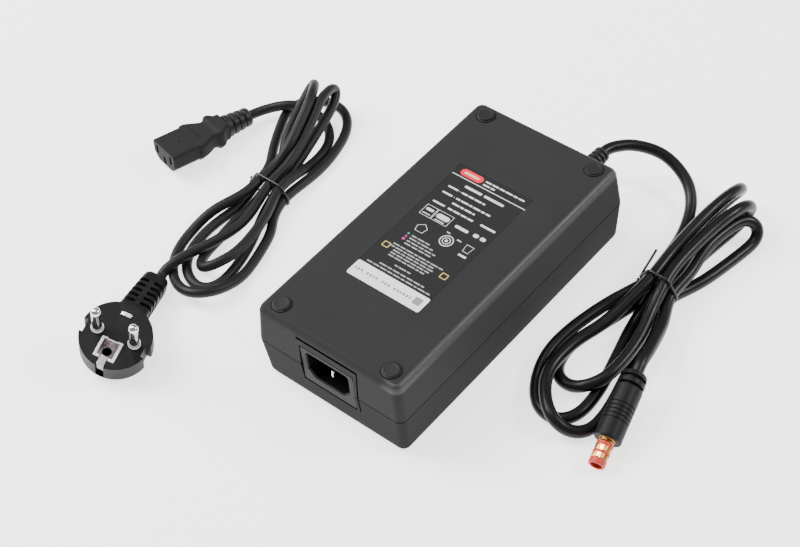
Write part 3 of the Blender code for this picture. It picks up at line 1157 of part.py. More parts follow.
def add_arm(body, pose, tools):
    """Arm lofted to a blunt end, with a row of flexing slots in each upper shoulder."""
    length = PLUG_ARM_LENGTH
    sections = [(14.8, 9.4, 0.0), (14.8, 9.6, 8.0), (14.2, 10.2, 16.0), (13.2, 10.6, 28.0), (12.4, 10.6, 33.6)]
    rings = [arm_section(width * MM, height * MM, along * MM) for width, height, along in sections]
    rings.append(arm_section(10.4 * MM, 8.8 * MM, length))
    join(body, tools, loft_mesh("plug_arm", rings), matrix=pose)
    for side, label in ((-1, "left"), (1, "right")):
        near, far = sorted((side * ARM_SPINE, side * 9.0 * MM))
        for index in range(ARM_SLOT_COUNT):
            start = ARM_SLOT_START + index * ARM_SLOT_PITCH
            cut(body, tools, box_mesh(f"arm_slot_{label}_{index + 1}", (near, start, ARM_SLOT_FLOOR),
                                      (far, start + ARM_SLOT_WIDTH, 8.0 * MM)), matrix=pose)


def cut_plug_notches(body, pose, tools):
    """Guide notches in the plug's two sides."""
    high = PLUG_NOTCH_RISE
    for side, label in ((-1, "left"), (1, "right")):
        near, far = sorted((side * (PLUG_RADIUS - PLUG_NOTCH_INSET), side * (PLUG_RADIUS + WALL)))
        cut(body, tools, box_mesh(f"plug_notch_{label}", (near, high - PLUG_NOTCH_WIDTH, -PLUG_DEPTH - WALL),
                                  (far, high, WALL)), matrix=pose)


def add_earth(body, pose, parts, tools):
    """Earth contact in its white frame on the face, its strip over the rim, and the far clip."""
    half, centre, proud = EARTH_FRAME_SIZE / 2, EARTH_FRAME_CENTRE, EARTH_FRAME_PROUD
    low, high = centre - half, centre + half
    floor = proud - EARTH_FRAME_DEPTH
    channel = half - EARTH_BAR
    channel_floor = floor + 0.7 * MM
    bore = centre - EARTH_BORE_SHIFT
    cut(body, tools,
        box_mesh("earth_frame_seat", (-half - GAP, low - GAP, floor - GAP), (half + GAP, high + GAP, WALL)),
        box_mesh("earth_strip_slot", (-EARTH_STRIP_WIDTH / 2 - GAP, -PLUG_RADIUS - WALL, -EARTH_STRIP_SLOT),
                 (EARTH_STRIP_WIDTH / 2 + GAP, -PLUG_RADIUS + 2.4 * MM, WALL)),
        box_mesh("earth_strip_way", (-EARTH_STRIP_WIDTH / 2 - GAP, -PLUG_RADIUS, channel_floor),
                 (EARTH_STRIP_WIDTH / 2 + GAP, low, WALL)),
        rod_mesh("earth_pin_bore", (0, bore, floor - EARTH_BORE_DEPTH), (0, bore, WALL), EARTH_HOLE_RADIUS,
                 SMALL_ROUND_STEPS), matrix=pose)
    frame = place("earth_frame", box_mesh("earth_frame", (-half, low, floor), (half, high, proud)),
                  white_plastic("earth_frame_plastic"), parts, pose)
    cut(frame, tools, box_mesh("earth_channel", (-channel, low - WALL, channel_floor), (channel, high + WALL, WALL)),
        rod_mesh("earth_frame_hole", (0, bore, -WALL), (0, bore, WALL), EARTH_HOLE_RADIUS, SMALL_ROUND_STEPS),
        matrix=pose)
    make_earth_contact(pose, low, high, channel, channel_floor + GAP, bore, parts, tools)
    make_earth_clip(body, pose, parts, tools)


def make_earth_contact(pose, low, high, channel, bottom, bore, parts, tools):
    """Sheet contact with a socket hole, whose strip folds down over the plug's rim."""
    top = bottom + EARTH_PLATE
    wide = channel - GAP
    sheet = box_mesh("earth_contact", (-wide, low + GAP, bottom), (wide, high - GAP, top))
    contact = place("earth_contact", sheet, nickel("earth_contact_metal"), parts, pose)
    rim = -PLUG_RADIUS + 1.0 * MM
    half = EARTH_STRIP_WIDTH / 2
    join(contact, tools,
         box_mesh("earth_strip_top", (-half, rim, bottom + 0.05 * MM), (half, low + 2 * MM, top - 0.05 * MM)),
         box_mesh("earth_strip_side", (-half + 0.05 * MM, rim + 0.05 * MM, -EARTH_STRIP_DROP),
                  (half - 0.05 * MM, rim + EARTH_PLATE, top - 0.1 * MM)), matrix=pose)
    cut(contact, tools, rod_mesh("earth_contact_hole", (0, bore, -WALL), (0, bore, WALL), EARTH_HOLE_RADIUS,
                                 SMALL_ROUND_STEPS), matrix=pose)


def make_earth_clip(body, pose, parts, tools):
    """The other earth clip, showing as a small plate near the arm."""
    half, depth = EARTH_CLIP_WIDTH / 2, EARTH_CLIP_DEPTH
    low, high = EARTH_CLIP_PLACE - EARTH_CLIP_LENGTH / 2, EARTH_CLIP_PLACE + EARTH_CLIP_LENGTH / 2
    cut(body, tools, box_mesh("earth_clip_seat", (-half - GAP, low - GAP, -depth - GAP),
                              (half + GAP, high + GAP, WALL)), matrix=pose)
    place("earth_clip", box_mesh("earth_clip", (-half, low, -depth), (half, high, EARTH_CLIP_PROUD)),
          nickel("earth_clip_metal"), parts, pose)


def make_plug_pin(body, name, x, pose, parts, tools):
    """Round pin in its white collar."""
    seat, root, radius = PLUG_COLLAR_SEAT, PLUG_PIN_ROOT, PLUG_PIN_RADIUS
    cut(body, tools,
        rod_mesh(f"plug_collar_seat_{name}", (x, 0, -seat - GAP), (x, 0, WALL), PLUG_COLLAR_RADIUS + GAP),
        rod_mesh(f"plug_pin_bore_{name}", (x, 0, -root - GAP), (x, 0, WALL), radius + GAP), matrix=pose)
    here = pose @ Matrix.Translation((x, 0, 0))
    length = PLUG_PIN_LENGTH
    dome = [(radius * math.sin(math.radians(angle)), length - radius + radius * math.cos(math.radians(angle)))
            for angle in (0, 25, 50, 70, 90)]
    turned(f"plug_pin_{name}", dome + [(radius, -root), (0, -root)], nickel(f"plug_pin_{name}_metal"), parts, here)
    inner, outer, high = radius + GAP, PLUG_COLLAR_RADIUS, PLUG_COLLAR_HEIGHT
    collar = [(inner, -seat), (inner, high), (outer - 0.3 * MM, high), (outer, high - 0.3 * MM), (outer, -seat),
              (inner, -seat)]
    turned(f"plug_collar_{name}", collar, white_plastic(f"plug_collar_{name}_plastic"), parts, here)


def main():
    clear_scene()
    parts = make_collection("ebike_charger")
    tools = make_collection("construction_shapes")
    make_base_shell(parts, tools)
    make_cover_shell(parts, tools)
    make_light_pipe(parts)
    make_feet_and_screws(parts)
    make_labels(parts)
    make_inlet(parts, tools)
    make_board(parts)
    make_components(parts, tools)
    make_strain_relief(parts)
    make_output_wires(parts)
    make_cords(parts)
    make_ties(parts)
    make_dc_plug(parts)
    make_connector(parts, tools)
    make_wall_plug(parts, tools)


main()
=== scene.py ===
"""Finished look of a charger for an electric bicycle, with its charging lead and its mains lead.

Lengths are in metres; MM turns millimetres into them. The case lies on its cover with its feet and
label up, +Y runs along it to the charging lead, and +X to the right.
"""
import json
import math

import bmesh
import bpy
import numpy as np
from mathutils import Matrix, Vector

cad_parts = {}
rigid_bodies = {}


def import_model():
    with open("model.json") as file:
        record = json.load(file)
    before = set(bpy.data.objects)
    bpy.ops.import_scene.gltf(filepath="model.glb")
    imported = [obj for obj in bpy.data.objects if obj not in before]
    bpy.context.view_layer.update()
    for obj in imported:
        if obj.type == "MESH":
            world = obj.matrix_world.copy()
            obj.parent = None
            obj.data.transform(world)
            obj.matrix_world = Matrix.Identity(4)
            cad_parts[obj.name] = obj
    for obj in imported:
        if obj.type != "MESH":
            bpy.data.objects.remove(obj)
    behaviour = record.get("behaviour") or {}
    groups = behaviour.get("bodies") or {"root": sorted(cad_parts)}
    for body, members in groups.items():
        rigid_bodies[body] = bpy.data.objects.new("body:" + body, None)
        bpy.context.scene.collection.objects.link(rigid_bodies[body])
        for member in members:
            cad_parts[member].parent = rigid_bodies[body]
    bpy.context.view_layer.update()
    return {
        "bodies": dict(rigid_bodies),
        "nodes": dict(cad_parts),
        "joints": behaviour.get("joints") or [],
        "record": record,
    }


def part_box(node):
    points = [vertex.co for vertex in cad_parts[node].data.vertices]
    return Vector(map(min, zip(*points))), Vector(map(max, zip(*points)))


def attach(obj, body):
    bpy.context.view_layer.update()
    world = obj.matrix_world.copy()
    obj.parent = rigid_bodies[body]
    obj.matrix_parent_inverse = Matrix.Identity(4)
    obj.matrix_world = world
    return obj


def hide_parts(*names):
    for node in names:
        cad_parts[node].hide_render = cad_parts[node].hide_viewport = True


MM = 0.001
ALONG_Y = Matrix.Rotation(math.radians(-90), 4, "X")

# Camera, on a 36 mm sensor
VIEW_TARGET = Vector((-16.92, -12.91, 20.0)) * MM
VIEW_DISTANCE = 842.7 * MM
VIEW_AZIMUTH = math.radians(45.15)
VIEW_ELEVATION = math.radians(48.06)
VIEW_ROLL = math.radians(-7.20)
VIEW_LENS = 80.76

# Studio: brightness of the surroundings and the floor, and each light's name, place, target, size and power
WORLD_LIGHT = 0.4
FLOOR_GLOW = 2.0
LIGHTS = [
    ("left", (-1.05, -0.3, 1.05), (0, 0, 0), (0.9, 0.9), 40.0),
    ("right_back", (0.85, 0.72, 0.92), (0, 0, 0.02), (0.45, 0.3), 14.0),
    ("glints", (-0.25, 0.1, 1.5), (0, 0, 0), (0.16, 0.16), 6.0),
]

# Case
PARTING_HEIGHT = 24.0 * MM
PARTING_GAP = 0.46 * MM
BASE_DRAFT = 0.078
COVER_DRAFT = 0.070
WALL = 2.2 * MM
CORNER_RADIUS = 4.0 * MM
EDGE_RADIUS = 3.0 * MM
RIM_EASE = 0.05 * MM
SEAT_GAP = 0.3 * MM
GROOVE_TOP_WIDTH = 1.5 * MM
GROOVE_SIDE_WIDTH = 0.8 * MM
GROOVE_DEPTH = 1.2 * MM
WINDOW_PLAY = 0.3 * MM
GROOVE_MARGIN = 2.2 * MM
GROOVE_RISE = 3.9 * MM
FOOT_SEAT_DEPTH = 0.5 * MM
RELIEF_HOLE_RADIUS = 4.9 * MM
LIGHT_HOLE_RADIUS = 2.8 * MM
CASE_EASE = 0.16 * MM

# Inlet
CAVITY_WIDTH = 24.4 * MM
CAVITY_HEIGHT = 15.2 * MM
CAVITY_CHAMFER = 4.2 * MM
CAVITY_RISE = 1.2 * MM
CAVITY_DEPTH = 16.3 * MM

# Label, in the case's X and Y
LABEL_INK_HEIGHT = 0.03 * MM
LABEL_PLAY = 0.12 * MM
LABEL_SEAT_DEPTH = 0.34 * MM
WORD_GAP = 0.55 * MM

# Print of the label in millimetres from its origin.
# Bars are (left end, middle height, width, height[, corner radius]); lines are (left end, middle
# height, length, first word); dots are (centre x, centre y, radius).
HEADING_LINES = [(-4.6, 38.9, 22.6, 1), (-4.6, 36.7, 7.0, 4)]
TITLE_BARS = [(-21.4, 34.7, 43.0, 0.45), (-10.7, 30.9, 10.0, 1.45, 0.55), (0.6, 30.9, 11.4, 1.45, 0.55)]
RATING_LINES = [(-9.4, 26.7, 13.8, 2), (-9.2, 22.3, 20.0, 5), (-8.9, 18.9, 13.3, 8), (-8.5, 15.2, 16.2, 11)]
RATING_BARS = [(-17.4, 26.7, 6.0, 1.0, 0.4), (-17.4, 22.3, 5.9, 1.0, 0.4), (-17.4, 15.2, 7.2, 1.0, 0.4)]
RATING_DOTS = [(-10.4, 26.7, 0.25), (-10.4, 22.3, 0.25), (-10.4, 15.2, 0.25)]
SYMBOL_BARS = [
    (-16.8, 9.6, 4.4, 1.6, 0.7), (-16.8, 6.7, 4.4, 0.5), (-10.0, 9.0, 7.2, 3.0, 1.4), (-9.2, 6.2, 5.4, 0.6),
    (1.3, 8.4, 7.6, 1.7, 0.7), (11.6, 8.8, 3.0, 2.2, 1.0), (15.6, 8.8, 3.0, 2.2, 1.0),
    (10.4, 15.5, 8.6, 1.2, 0.5),
    (7.4, 2.0, 2.6, 0.6), (0.6, 3.2, 2.0, 0.6), (13.4, -4.6, 4.4, 1.2, 0.1),
]
SYMBOL_OUTLINES = [
    [(-17.8, 5.2), (-11.3, 5.2), (-11.3, 12.1), (-17.8, 12.1)],
    [(-11.0, 5.2), (-1.9, 5.2), (-1.9, 12.1), (-11.0, 12.1)],
    [(-12.6, -4.4), (-8.3, -4.4), (-7.4, -1.0), (-10.3, 1.2), (-13.4, -1.0)],
    [(13.6, -2.2), (16.8, -2.2), (17.4, 2.4), (13.0, 2.4)],
]
SYMBOL_LINE_WIDTH = 0.22
RING_CENTRE = (3.9, -1.4)
RINGS = [(3.5, 0.5), (2.1, 0.4)]
RING_DOT_RADIUS = 0.8
SMALL_LINES = [
    (-11.2, -7.9, 12.0, 3), (-11.2, -9.7, 14.2, 6), (-11.2, -11.6, 16.8, 9), (-11.2, -13.4, 15.4, 12),
    (-15.2, -16.3, 29.6, 15), (-15.2, -18.0, 25.8, 18), (-12.6, -19.7, 24.0, 21), (-12.6, -21.4, 23.4, 24),
    (-12.6, -23.1, 21.0, 27), (-5.9, -26.5, 10.4, 31), (-12.5, -29.3, 26.0, 34), (-18.3, -31.3, 37.0, 37),
]
YELLOW_PLACES = [(-17.3, -18.9), (16.6, -18.9)]
RED_FIELD = (-18.6, 38.1, 12.9, 4.4, 2.15)
RED_FIELD_BAR = (-16.6, 38.1, 8.8, 1.3, 0.6)
GREEN_DOTS = [(-13.3, -7.7, 0.6)]
MAGENTA_DOTS = [(-13.2, -9.6, 0.6), (-13.2, -11.5, 0.85)]
STRIP_FIELD = (14.2, -37.3, 4.2, 4.2, 0.5)
STRIP_BAR_GAPS = (3, 8, 12)

# Leads; the pitch of the rings on the tail is in millimetres
DC_CORD_DIAMETER = 6.0 * MM
MAINS_CORD_DIAMETER = 5.2 * MM
TIE_RADIUS = 0.62 * MM
ROUTE_STEP = 1.25 * MM
ROUTE_REACH = 4.0 * MM
RELIEF_RINGS = 6
RELIEF_PITCH = 2.7

# Charging plug: the ends of its grip, then sizes in millimetres
DC_PLUG_REAR = Vector((103.8, 6.4, 14.4)) * MM
DC_PLUG_FRONT = Vector((111.5, -26.8, 7.0)) * MM
DC_PLUG_RADIUS = 6.45
DC_PLUG_GRIP_LINES = 5
DC_PLUG_TIP_RADIUS = 3.95
DC_PLUG_TIP_LENGTH = 13.0
DC_BAND_PLACES = (3.9, 7.6)
DC_BAND_WIDTH = 2.6
DC_BAND_FACETS = 14

# Mains connector
CONNECTOR_FACE = Vector((-174.5, -15.3, 10.6)) * MM
CONNECTOR_REAR = Vector((-162.0, 35.2, 6.0)) * MM
CONNECTOR_ROLL = math.radians(-4.0)
CONNECTOR_RIBS = 4

# Sections of the connector in millimetres: width, height, chamfer, corner radius, place along it, rise
CONNECTOR_SECTIONS = [
    (20.4, 10.4, 3.8, 1.2, 0.0, -1.1), (21.4, 11.4, 3.8, 1.7, 0.5, -1.1), (21.4, 11.4, 3.8, 1.7, 16.0, -1.1),
    (23.2, 11.5, 4.1, 1.9, 16.15, -1.1), (23.6, 11.6, 4.2, 1.9, 16.6, -1.1), (23.6, 11.8, 4.2, 1.9, 17.9, -1.1),
    (22.4, 11.8, 4.1, 1.8, 19.6, -1.1), (20.0, 11.4, 3.8, 1.8, 22.2, -1.1), (17.2, 11.0, 3.4, 1.8, 24.6, -1.0),
    (15.5, 10.8, 3.2, 1.7, 26.4, -1.0), (15.1, 10.7, 3.1, 1.7, 27.5, -0.9), (16.4, 11.4, 3.2, 1.7, 28.6, -0.9),
    (18.3, 12.6, 3.5, 1.7, 29.5, -0.8), (18.9, 13.0, 3.6, 1.7, 30.6, -0.8), (18.2, 12.7, 3.5, 1.6, 31.8, -0.7),
    (15.6, 12.1, 3.0, 1.5, 33.0, -0.5), (13.2, 11.5, 2.6, 1.4, 34.2, -0.3), (12.6, 11.2, 2.4, 1.3, 36.5, -0.1),
]

# Slots in the connector's face in millimetres: name, across, up
CONNECTOR_SLOTS = [("live", -6.6, 0.2), ("neutral", 6.6, 0.2), ("earth", 0.0, -3.3)]

# Wall plug: centre of its face, the way across its pins and the way to its arm, then sizes in millimetres
# where no unit is given
PLUG_CENTRE = Vector((-101.5, -118.7, 18.5)) * MM
PLUG_ACROSS = Vector((0.909, 0.307, -0.285))
PLUG_UP = Vector((-0.260, 0.947, 0.191))
PLUG_RADIUS = 17.3
PLUG_DEPTH = 13.2
PLUG_ARM_ANGLE = math.radians(26.5)
PLUG_ARM_END = Vector((0.0, 41.8, -21.6)) * MM
PLUG_ARM_LENGTH = 35.5 * MM
ARM_SLOT_START = 9.9
ARM_SLOT_PITCH = 4.1
ARM_SLOT_WIDTH = 2.0
PIN_OFFSET = 9.5 * MM
PIN_RADIUS = 2.4
PIN_LENGTH = 19.0
EARTH_HOLE_RADIUS = 2.4 * MM
EARTH_HOLE_PLACE = -9.1 * MM

# Sections of the wall plug's arm in millimetres: width, height, place along the arm, corner radius
PLUG_ARM_SECTIONS = [
    (14.8, 9.4, 0.0, 2.2), (14.8, 9.6, 8.0, 2.3), (14.5, 9.9, 12.0, 2.5), (14.2, 10.2, 16.0, 2.6),
    (13.6, 10.5, 23.0, 2.8), (13.1, 10.6, 28.5, 2.9), (12.7, 10.6, 32.6, 3.0), (12.3, 10.3, 34.3, 3.0),
    (11.4, 9.6, 35.1, 2.9), (10.4, 8.7, 35.5, 2.8),
]

# Centre line of the charging lead in millimetres, from the case to its plug
DC_CORD_ROUTE = [
    # Out of the strain relief and round the corner of the case
    (16.5, 103.4, 24), (16.8, 106.6, 24), (18.8, 111.4, 23.6), (24.5, 119, 21.5), (37.5, 125.5, 17),
    (52.8, 122.3, 11.4), (61, 115, 7), (65.8, 104.6, 4.6), (68.8, 92.6, 3.1), (72, 71, 5.5),
    (74.5, 55.5, 10.5), (67, 36.5, 9),
    (62, 14, 8.4), (61, -3, 6.6), (65.5, -17.5, 3.4), (74.5, -27.5, 3.1),
    # First turn of the hank
    (85.5, -28.5, 3.1), (91.5, -19.5, 3.1), (90.5, -2, 3.1), (85.5, 19, 3.1), (81, 38, 3.1),
    (81.5, 55.5, 10.5), (83, 71, 6.2), (84, 97.5, 3.1), (87, 116.5, 4.5), (89, 123.5, 10),
    (90, 120.5, 17), (88.5, 109.5, 21), (85.5, 95, 19.6), (83.5, 71, 17.6), (85, 55.5, 16.4),
    (87.5, 42.5, 12.8), (92, 24, 10.5), (92.5, 2.5, 9.6), (87, -8.5, 8), (78, -10.5, 3.8),
    # Second turn
    (68.5, -6, 3.1), (65, 10, 3.1), (69.5, 28, 3.1), (77.5, 55.5, 4.6), (78, 71, 3.1), (73, 106, 3.1),
    (74.5, 127, 6), (79, 131, 12), (81, 125, 19), (80.5, 112, 22.5), (79, 93, 22), (77.5, 71, 18.2),
    (78, 55.5, 16.4), (74, 25.5, 11.5), (69, 8, 10.3), (68.5, -10, 9.8), (74, -22, 9.6), (85, -32, 9.3),
    # Third turn, over the first and down to the plug
    (93.5, -31.5, 4.4), (100.5, -25, 3.1), (100.5, -9.5, 3.1), (94.5, 16.5, 3.1), (88, 45, 3.1),
    (85.5, 55.5, 4.6), (89, 67.5, 3.3), (93, 79.5, 3.1), (97, 100.5, 3.1), (99, 113.5, 4), (98, 117, 8),
    (94.5, 117, 12), (90, 111.5, 13.4), (86.5, 90.5, 13), (89, 71, 12.2), (88.5, 55.5, 10.8),
    (95, 40, 9.8), (100.5, 22, 13.8), (102.2, 13.4, 15.7), (103.7, 6.8, 14.5),
]

# Centre line of the mains lead in millimetres, from its connector to its wall plug
MAINS_CORD_ROUTE = [
    # Out of the connector and down through the tie
    (-161.9, 35.6, 6), (-157.5, 44.5, 6.2), (-148.5, 51.5, 8.5), (-142.5, 56, 6.8), (-134, 58.5, 3.5),
    (-121.5, 53, 2.7), (-114.5, 42.5, 2.7), (-112.5, 27.5, 3.4), (-110.8, 16, 8), (-110, 1.5, 9),
    (-102.5, -18, 8.4), (-98, -39.5, 9.4), (-99.5, -51, 10), (-106, -59, 7.4), (-114.5, -49.5, 3),
    # First turn of the hank
    (-116, -37.5, 2.7), (-118, -23, 2.7), (-117.5, -12, 2.7), (-119.5, 1.5, 4.2), (-122.5, 15.5, 3),
    (-133, 33, 8), (-141, 57.5, 13.2), (-141, 66, 17.8), (-130.5, 52, 23), (-126.5, 40, 19.6),
    (-122, 24.5, 15.6), (-122.5, 15.5, 10.2), (-123, 1.5, 8.9), (-123, -10, 8.4), (-128.5, -27, 7.6),
    (-131, -40, 3.4), (-128.5, -53, 2.7), (-122.5, -63.5, 2.7), (-113, -71, 4.4), (-101.5, -74, 7.3),
    (-93.5, -70, 8.1), (-90, -60.5, 5.5),
    # Second turn, flat on the ground round the far end
    (-89.5, -48, 2.8), (-92.5, -34, 2.7), (-98, -18, 2.7), (-103.5, -11, 2.7), (-107, 1.5, 4.2),
    (-107, 25.5, 2.7), (-108.5, 40, 2.7), (-114, 57.5, 2.7), (-123.5, 68, 2.7), (-136, 70, 2.7),
    (-146, 64, 2.7), (-151, 54, 2.7), (-145, 40, 2.7), (-136.5, 25, 2.7), (-130, 15.5, 2.7),
    (-126, 1.5, 4.2), (-123.5, -14, 2.7), (-125, -28, 2.7), (-124.5, -42, 2.7), (-120, -56, 2.7),
    (-111, -64, 2.7), (-101, -66, 2.7), (-95.5, -60, 2.7), (-96, -48, 2.7),
    # Third turn, over the others and out to the wall plug
    (-100.5, -31.5, 2.7), (-109.5, -11, 2.7), (-113, 1.5, 4.2), (-115.8, 14, 4.2), (-118.5, 30, 6.6),
    (-122, 47, 9.6), (-127, 64.5, 11.5), (-131, 71, 16), (-127.5, 56.5, 20.5), (-124, 46, 17.6),
    (-119.5, 30.5, 13.6), (-116.5, 15.5, 10.8), (-116.5, 1.5, 9.1), (-110, -23.5, 8.4), (-112.5, -42.5, 8.6),
    (-117, -55, 8.4), (-119, -64.5, 8.9), (-120.6, -69.2, 7.2), (-120.2, -72.6, 5.9), (-118.7, -76.2, 6.6),
]

# Where each tie holds its hank: the cords' centres there, across the hank and up, in millimetres
DC_TIE_PLACE = 55.5 * MM
DC_TIE_STRANDS = [(74.5, 10.5), (81.5, 10.5), (85, 16.4), (77.5, 4.6), (78, 16.4), (85.5, 4.6), (88.5, 10.8)]
DC_TIE_TAIL = [(73, 57.8, 18), (75.5, 58, 25), (78.5, 58, 33.5)]
DC_TIE_START = math.radians(157.5)
MAINS_TIE_PLACE = 1.5 * MM
MAINS_TIE_STRANDS = [(-110, 9), (-119.5, 4.2), (-123, 8.9), (-107, 4.2), (-126, 4.2), (-113, 4.2),
                     (-116.5, 9.1)]
MAINS_TIE_TAIL = [(-130.8, 3, 5.2), (-131.4, 3.2, 3.2), (-130.8, 3.8, 1.6), (-129.4, 4.6, 1.4),
                  (-128.6, 5.4, 2.6)]
MAINS_TIE_START = math.radians(165)

# Finishes. Moulded: material, dark and light colour, range of roughness, pits per metre, strength of
# the grain, specular level. Printed: material, colour, roughness, specular level. Plated: material,
# colour, roughness.
GRAIN_DEPTH = 0.05 * MM
MOULDED = {
    # The cover's colours are a darker copy of the base's plastic: painted shade on the lower walls.
    "case": ("case_black", (0.020, 0.020, 0.021), (0.027, 0.027, 0.028), (0.44, 0.54), 2600.0, 0.30, 0.01),
    "base": ("base_black", (0.026, 0.026, 0.027), (0.033, 0.033, 0.034), (0.44, 0.54), 2600.0, 0.30),
    "inlet": ("inlet_black", (0.027, 0.027, 0.028), (0.033, 0.033, 0.034), (0.40, 0.48), 3000.0, 0.20, 0.04),
    "foot": ("foot_rubber", (0.010, 0.010, 0.011), (0.014, 0.014, 0.015), (0.50, 0.62), 1800.0, 0.25, 0.25),
    "relief": ("relief_rubber", (0.008, 0.008, 0.009), (0.012, 0.012, 0.013), (0.42, 0.52), 1800.0, 0.20, 0.3),
    "dc_jacket": ("dc_jacket", (0.005, 0.005, 0.006), (0.007, 0.007, 0.008), (0.30, 0.38), 900.0, 0.10, 0.2),
    "mains_jacket": ("mains_jacket", (0.009, 0.009, 0.010), (0.013, 0.013, 0.014), (0.42, 0.52), 1100.0, 0.12,
                     0.18),
    "tie": ("tie_wire", (0.006, 0.006, 0.007), (0.009, 0.009, 0.010), (0.30, 0.40), 1500.0, 0.10),
    "plug": ("plug_black", (0.008, 0.008, 0.009), (0.012, 0.012, 0.013), (0.42, 0.52), 2200.0, 0.22, 0.10),
    "connector": ("connector_black", (0.018, 0.018, 0.019), (0.026, 0.026, 0.027), (0.42, 0.52), 2200.0, 0.22,
                  0.03),
    "grip": ("grip_black", (0.007, 0.007, 0.008), (0.010, 0.010, 0.011), (0.42, 0.52), 2200.0, 0.20, 0.14),
    "film": ("label_film", (0.021, 0.021, 0.022), (0.025, 0.025, 0.026), (0.36, 0.42), 1200.0, 0.04, 0.05),
    "nylon": ("tip_nylon", (0.50, 0.032, 0.016), (0.58, 0.044, 0.022), (0.34, 0.46), 1400.0, 0.12, 0.3),
    "board": ("board_laminate", (0.03, 0.12, 0.04), (0.05, 0.17, 0.06), (0.34, 0.46), 1500.0, 0.1),
    "moulded": ("moulded_dark", (0.03, 0.03, 0.03), (0.05, 0.05, 0.05), (0.45, 0.55), 1800.0, 0.15),
    "tape": ("winding_tape", (0.55, 0.36, 0.04), (0.66, 0.45, 0.06), (0.25, 0.35), 900.0, 0.1),
    "sleeve": ("shrink_sleeve", (0.02, 0.03, 0.06), (0.03, 0.04, 0.08), (0.22, 0.32), 700.0, 0.08),
    "enamel": ("copper_enamel", (0.30, 0.07, 0.02), (0.42, 0.12, 0.03), (0.22, 0.34), 1600.0, 0.3),
    "red_wire": ("wire_red", (0.42, 0.02, 0.02), (0.52, 0.03, 0.03), (0.3, 0.4), 1200.0, 0.1),
}
PRINTED = {
    # Near-black finish for the inside of the inlet's mouth and the window's ledge and groove: painted shade.
    "cavity": ("cavity_painted_shade", (0.004, 0.004, 0.004), 0.7, 0.05),
    "strip": ("strip_film", (0.94, 0.94, 0.93), 0.38),
    "white_ink": ("ink_white", (0.70, 0.70, 0.70)),
    "dim_ink": ("ink_dim", (0.34, 0.34, 0.34)),
    "grey_ink": ("ink_grey", (0.26, 0.26, 0.27)),
    "red_ink": ("ink_red", (0.85, 0.02, 0.04)),
    "pale_red_ink": ("ink_pale_red", (0.92, 0.50, 0.48)),
    "green_ink": ("ink_green", (0.03, 0.34, 0.22)),
    "magenta_ink": ("ink_magenta", (0.46, 0.04, 0.26)),
    "yellow_ink": ("ink_yellow", (0.60, 0.47, 0.12)),
    "collar": ("collar_white", (0.90, 0.89, 0.88), 0.35),
    # Dark red lining of the charging tip's bore: painted shade in the hole.
    "bore": ("tip_bore_painted_shade", (0.06, 0.004, 0.004), 0.5),
    "clear": ("light_clear", (0.70, 0.74, 0.72), 0.2),
}
PLATED = {
    "nickel": ("contact_nickel", (0.76, 0.72, 0.71), 0.16),
    # Darker copy of the nickel for the inlet's live and neutral blades: painted shade under the mouth's top
    # wall.
    "shaded": ("blade_painted_shade", (0.30, 0.28, 0.27), 0.34),
    "sheet": ("contact_sheet", (0.105, 0.078, 0.088), 0.36),
    "spring": ("contact_spring", (0.34, 0.31, 0.31), 0.36),
    "gold": ("contact_gold", (0.66, 0.30, 0.10), 0.22),
    # Darker copy of the gold for the charging plug's collar: painted shade.
    "collar_gold_painted_shade": ("contact_gold_painted_shade", (0.42, 0.20, 0.06), 0.3),
    "aluminium": ("sink_aluminium", (0.72, 0.73, 0.74), 0.38),
    "steel": ("screw_steel", (0.42, 0.42, 0.43), 0.34),
}


# Materials

def new_group(name, inputs, outputs):
    """Empty node group with its sockets; inputs are (name, kind, default)."""
    group = bpy.data.node_groups.new(name, "ShaderNodeTree")
    for socket_name, kind, default in inputs:
        socket = group.interface.new_socket(socket_name, in_out="INPUT", socket_type=kind)
        if default is not None:
            socket.default_value = default
    for socket_name, kind in outputs:
        group.interface.new_socket(socket_name, in_out="OUTPUT", socket_type=kind)
    return group, group.nodes.new("NodeGroupInput"), group.nodes.new("NodeGroupOutput")


def math_node(tree, operation, a, b=0.0):
    """Result of a maths operation on two numbers or sockets."""
    node = tree.nodes.new("ShaderNodeMath")
    node.operation = operation
    for socket, value in zip(node.inputs, (a, b)):
        if isinstance(value, (int, float)):
            socket.default_value = value
        else:
            tree.links.new(value, socket)
    return node.outputs[0]


def noise(tree, vector, scale, detail=2.0, roughness=0.5):
    """Noise of about 0.3 to 0.7 over the vector."""
    node = tree.nodes.new("ShaderNodeTexNoise")
    node.inputs["Scale"].default_value = scale
    node.inputs["Detail"].default_value = detail
    node.inputs["Roughness"].default_value = roughness
    tree.links.new(vector, node.inputs["Vector"])
    return node.outputs["Fac"]


def grain_group():
    """Spark-eroded mould grain: Height = 0.65 * pits + 0.35 * finer pits; Patch = slow mottling."""
    group, start, end = new_group("mould_grain", [("Vector", "NodeSocketVector", None),
                                                  ("Pits per metre", "NodeSocketFloat", 2200.0)],
                                  [("Height", "NodeSocketFloat"), ("Patch", "NodeSocketFloat")])
    scaled = group.nodes.new("ShaderNodeVectorMath")
    scaled.operation = "SCALE"
    group.links.new(start.outputs["Vector"], scaled.inputs[0])
    group.links.new(start.outputs["Pits per metre"], scaled.inputs["Scale"])
    coarse = noise(group, scaled.outputs[0], 1.0, 2.0, 0.6)
    fine = noise(group, scaled.outputs[0], 2.7, 1.0, 0.5)
    height = math_node(group, "ADD", math_node(group, "MULTIPLY", coarse, 0.65),
                       math_node(group, "MULTIPLY", fine, 0.35))
    patch = noise(group, start.outputs["Vector"], 38.0, 3.0, 0.6)
    group.links.new(height, end.inputs["Height"])
    group.links.new(patch, end.inputs["Patch"])
    return group


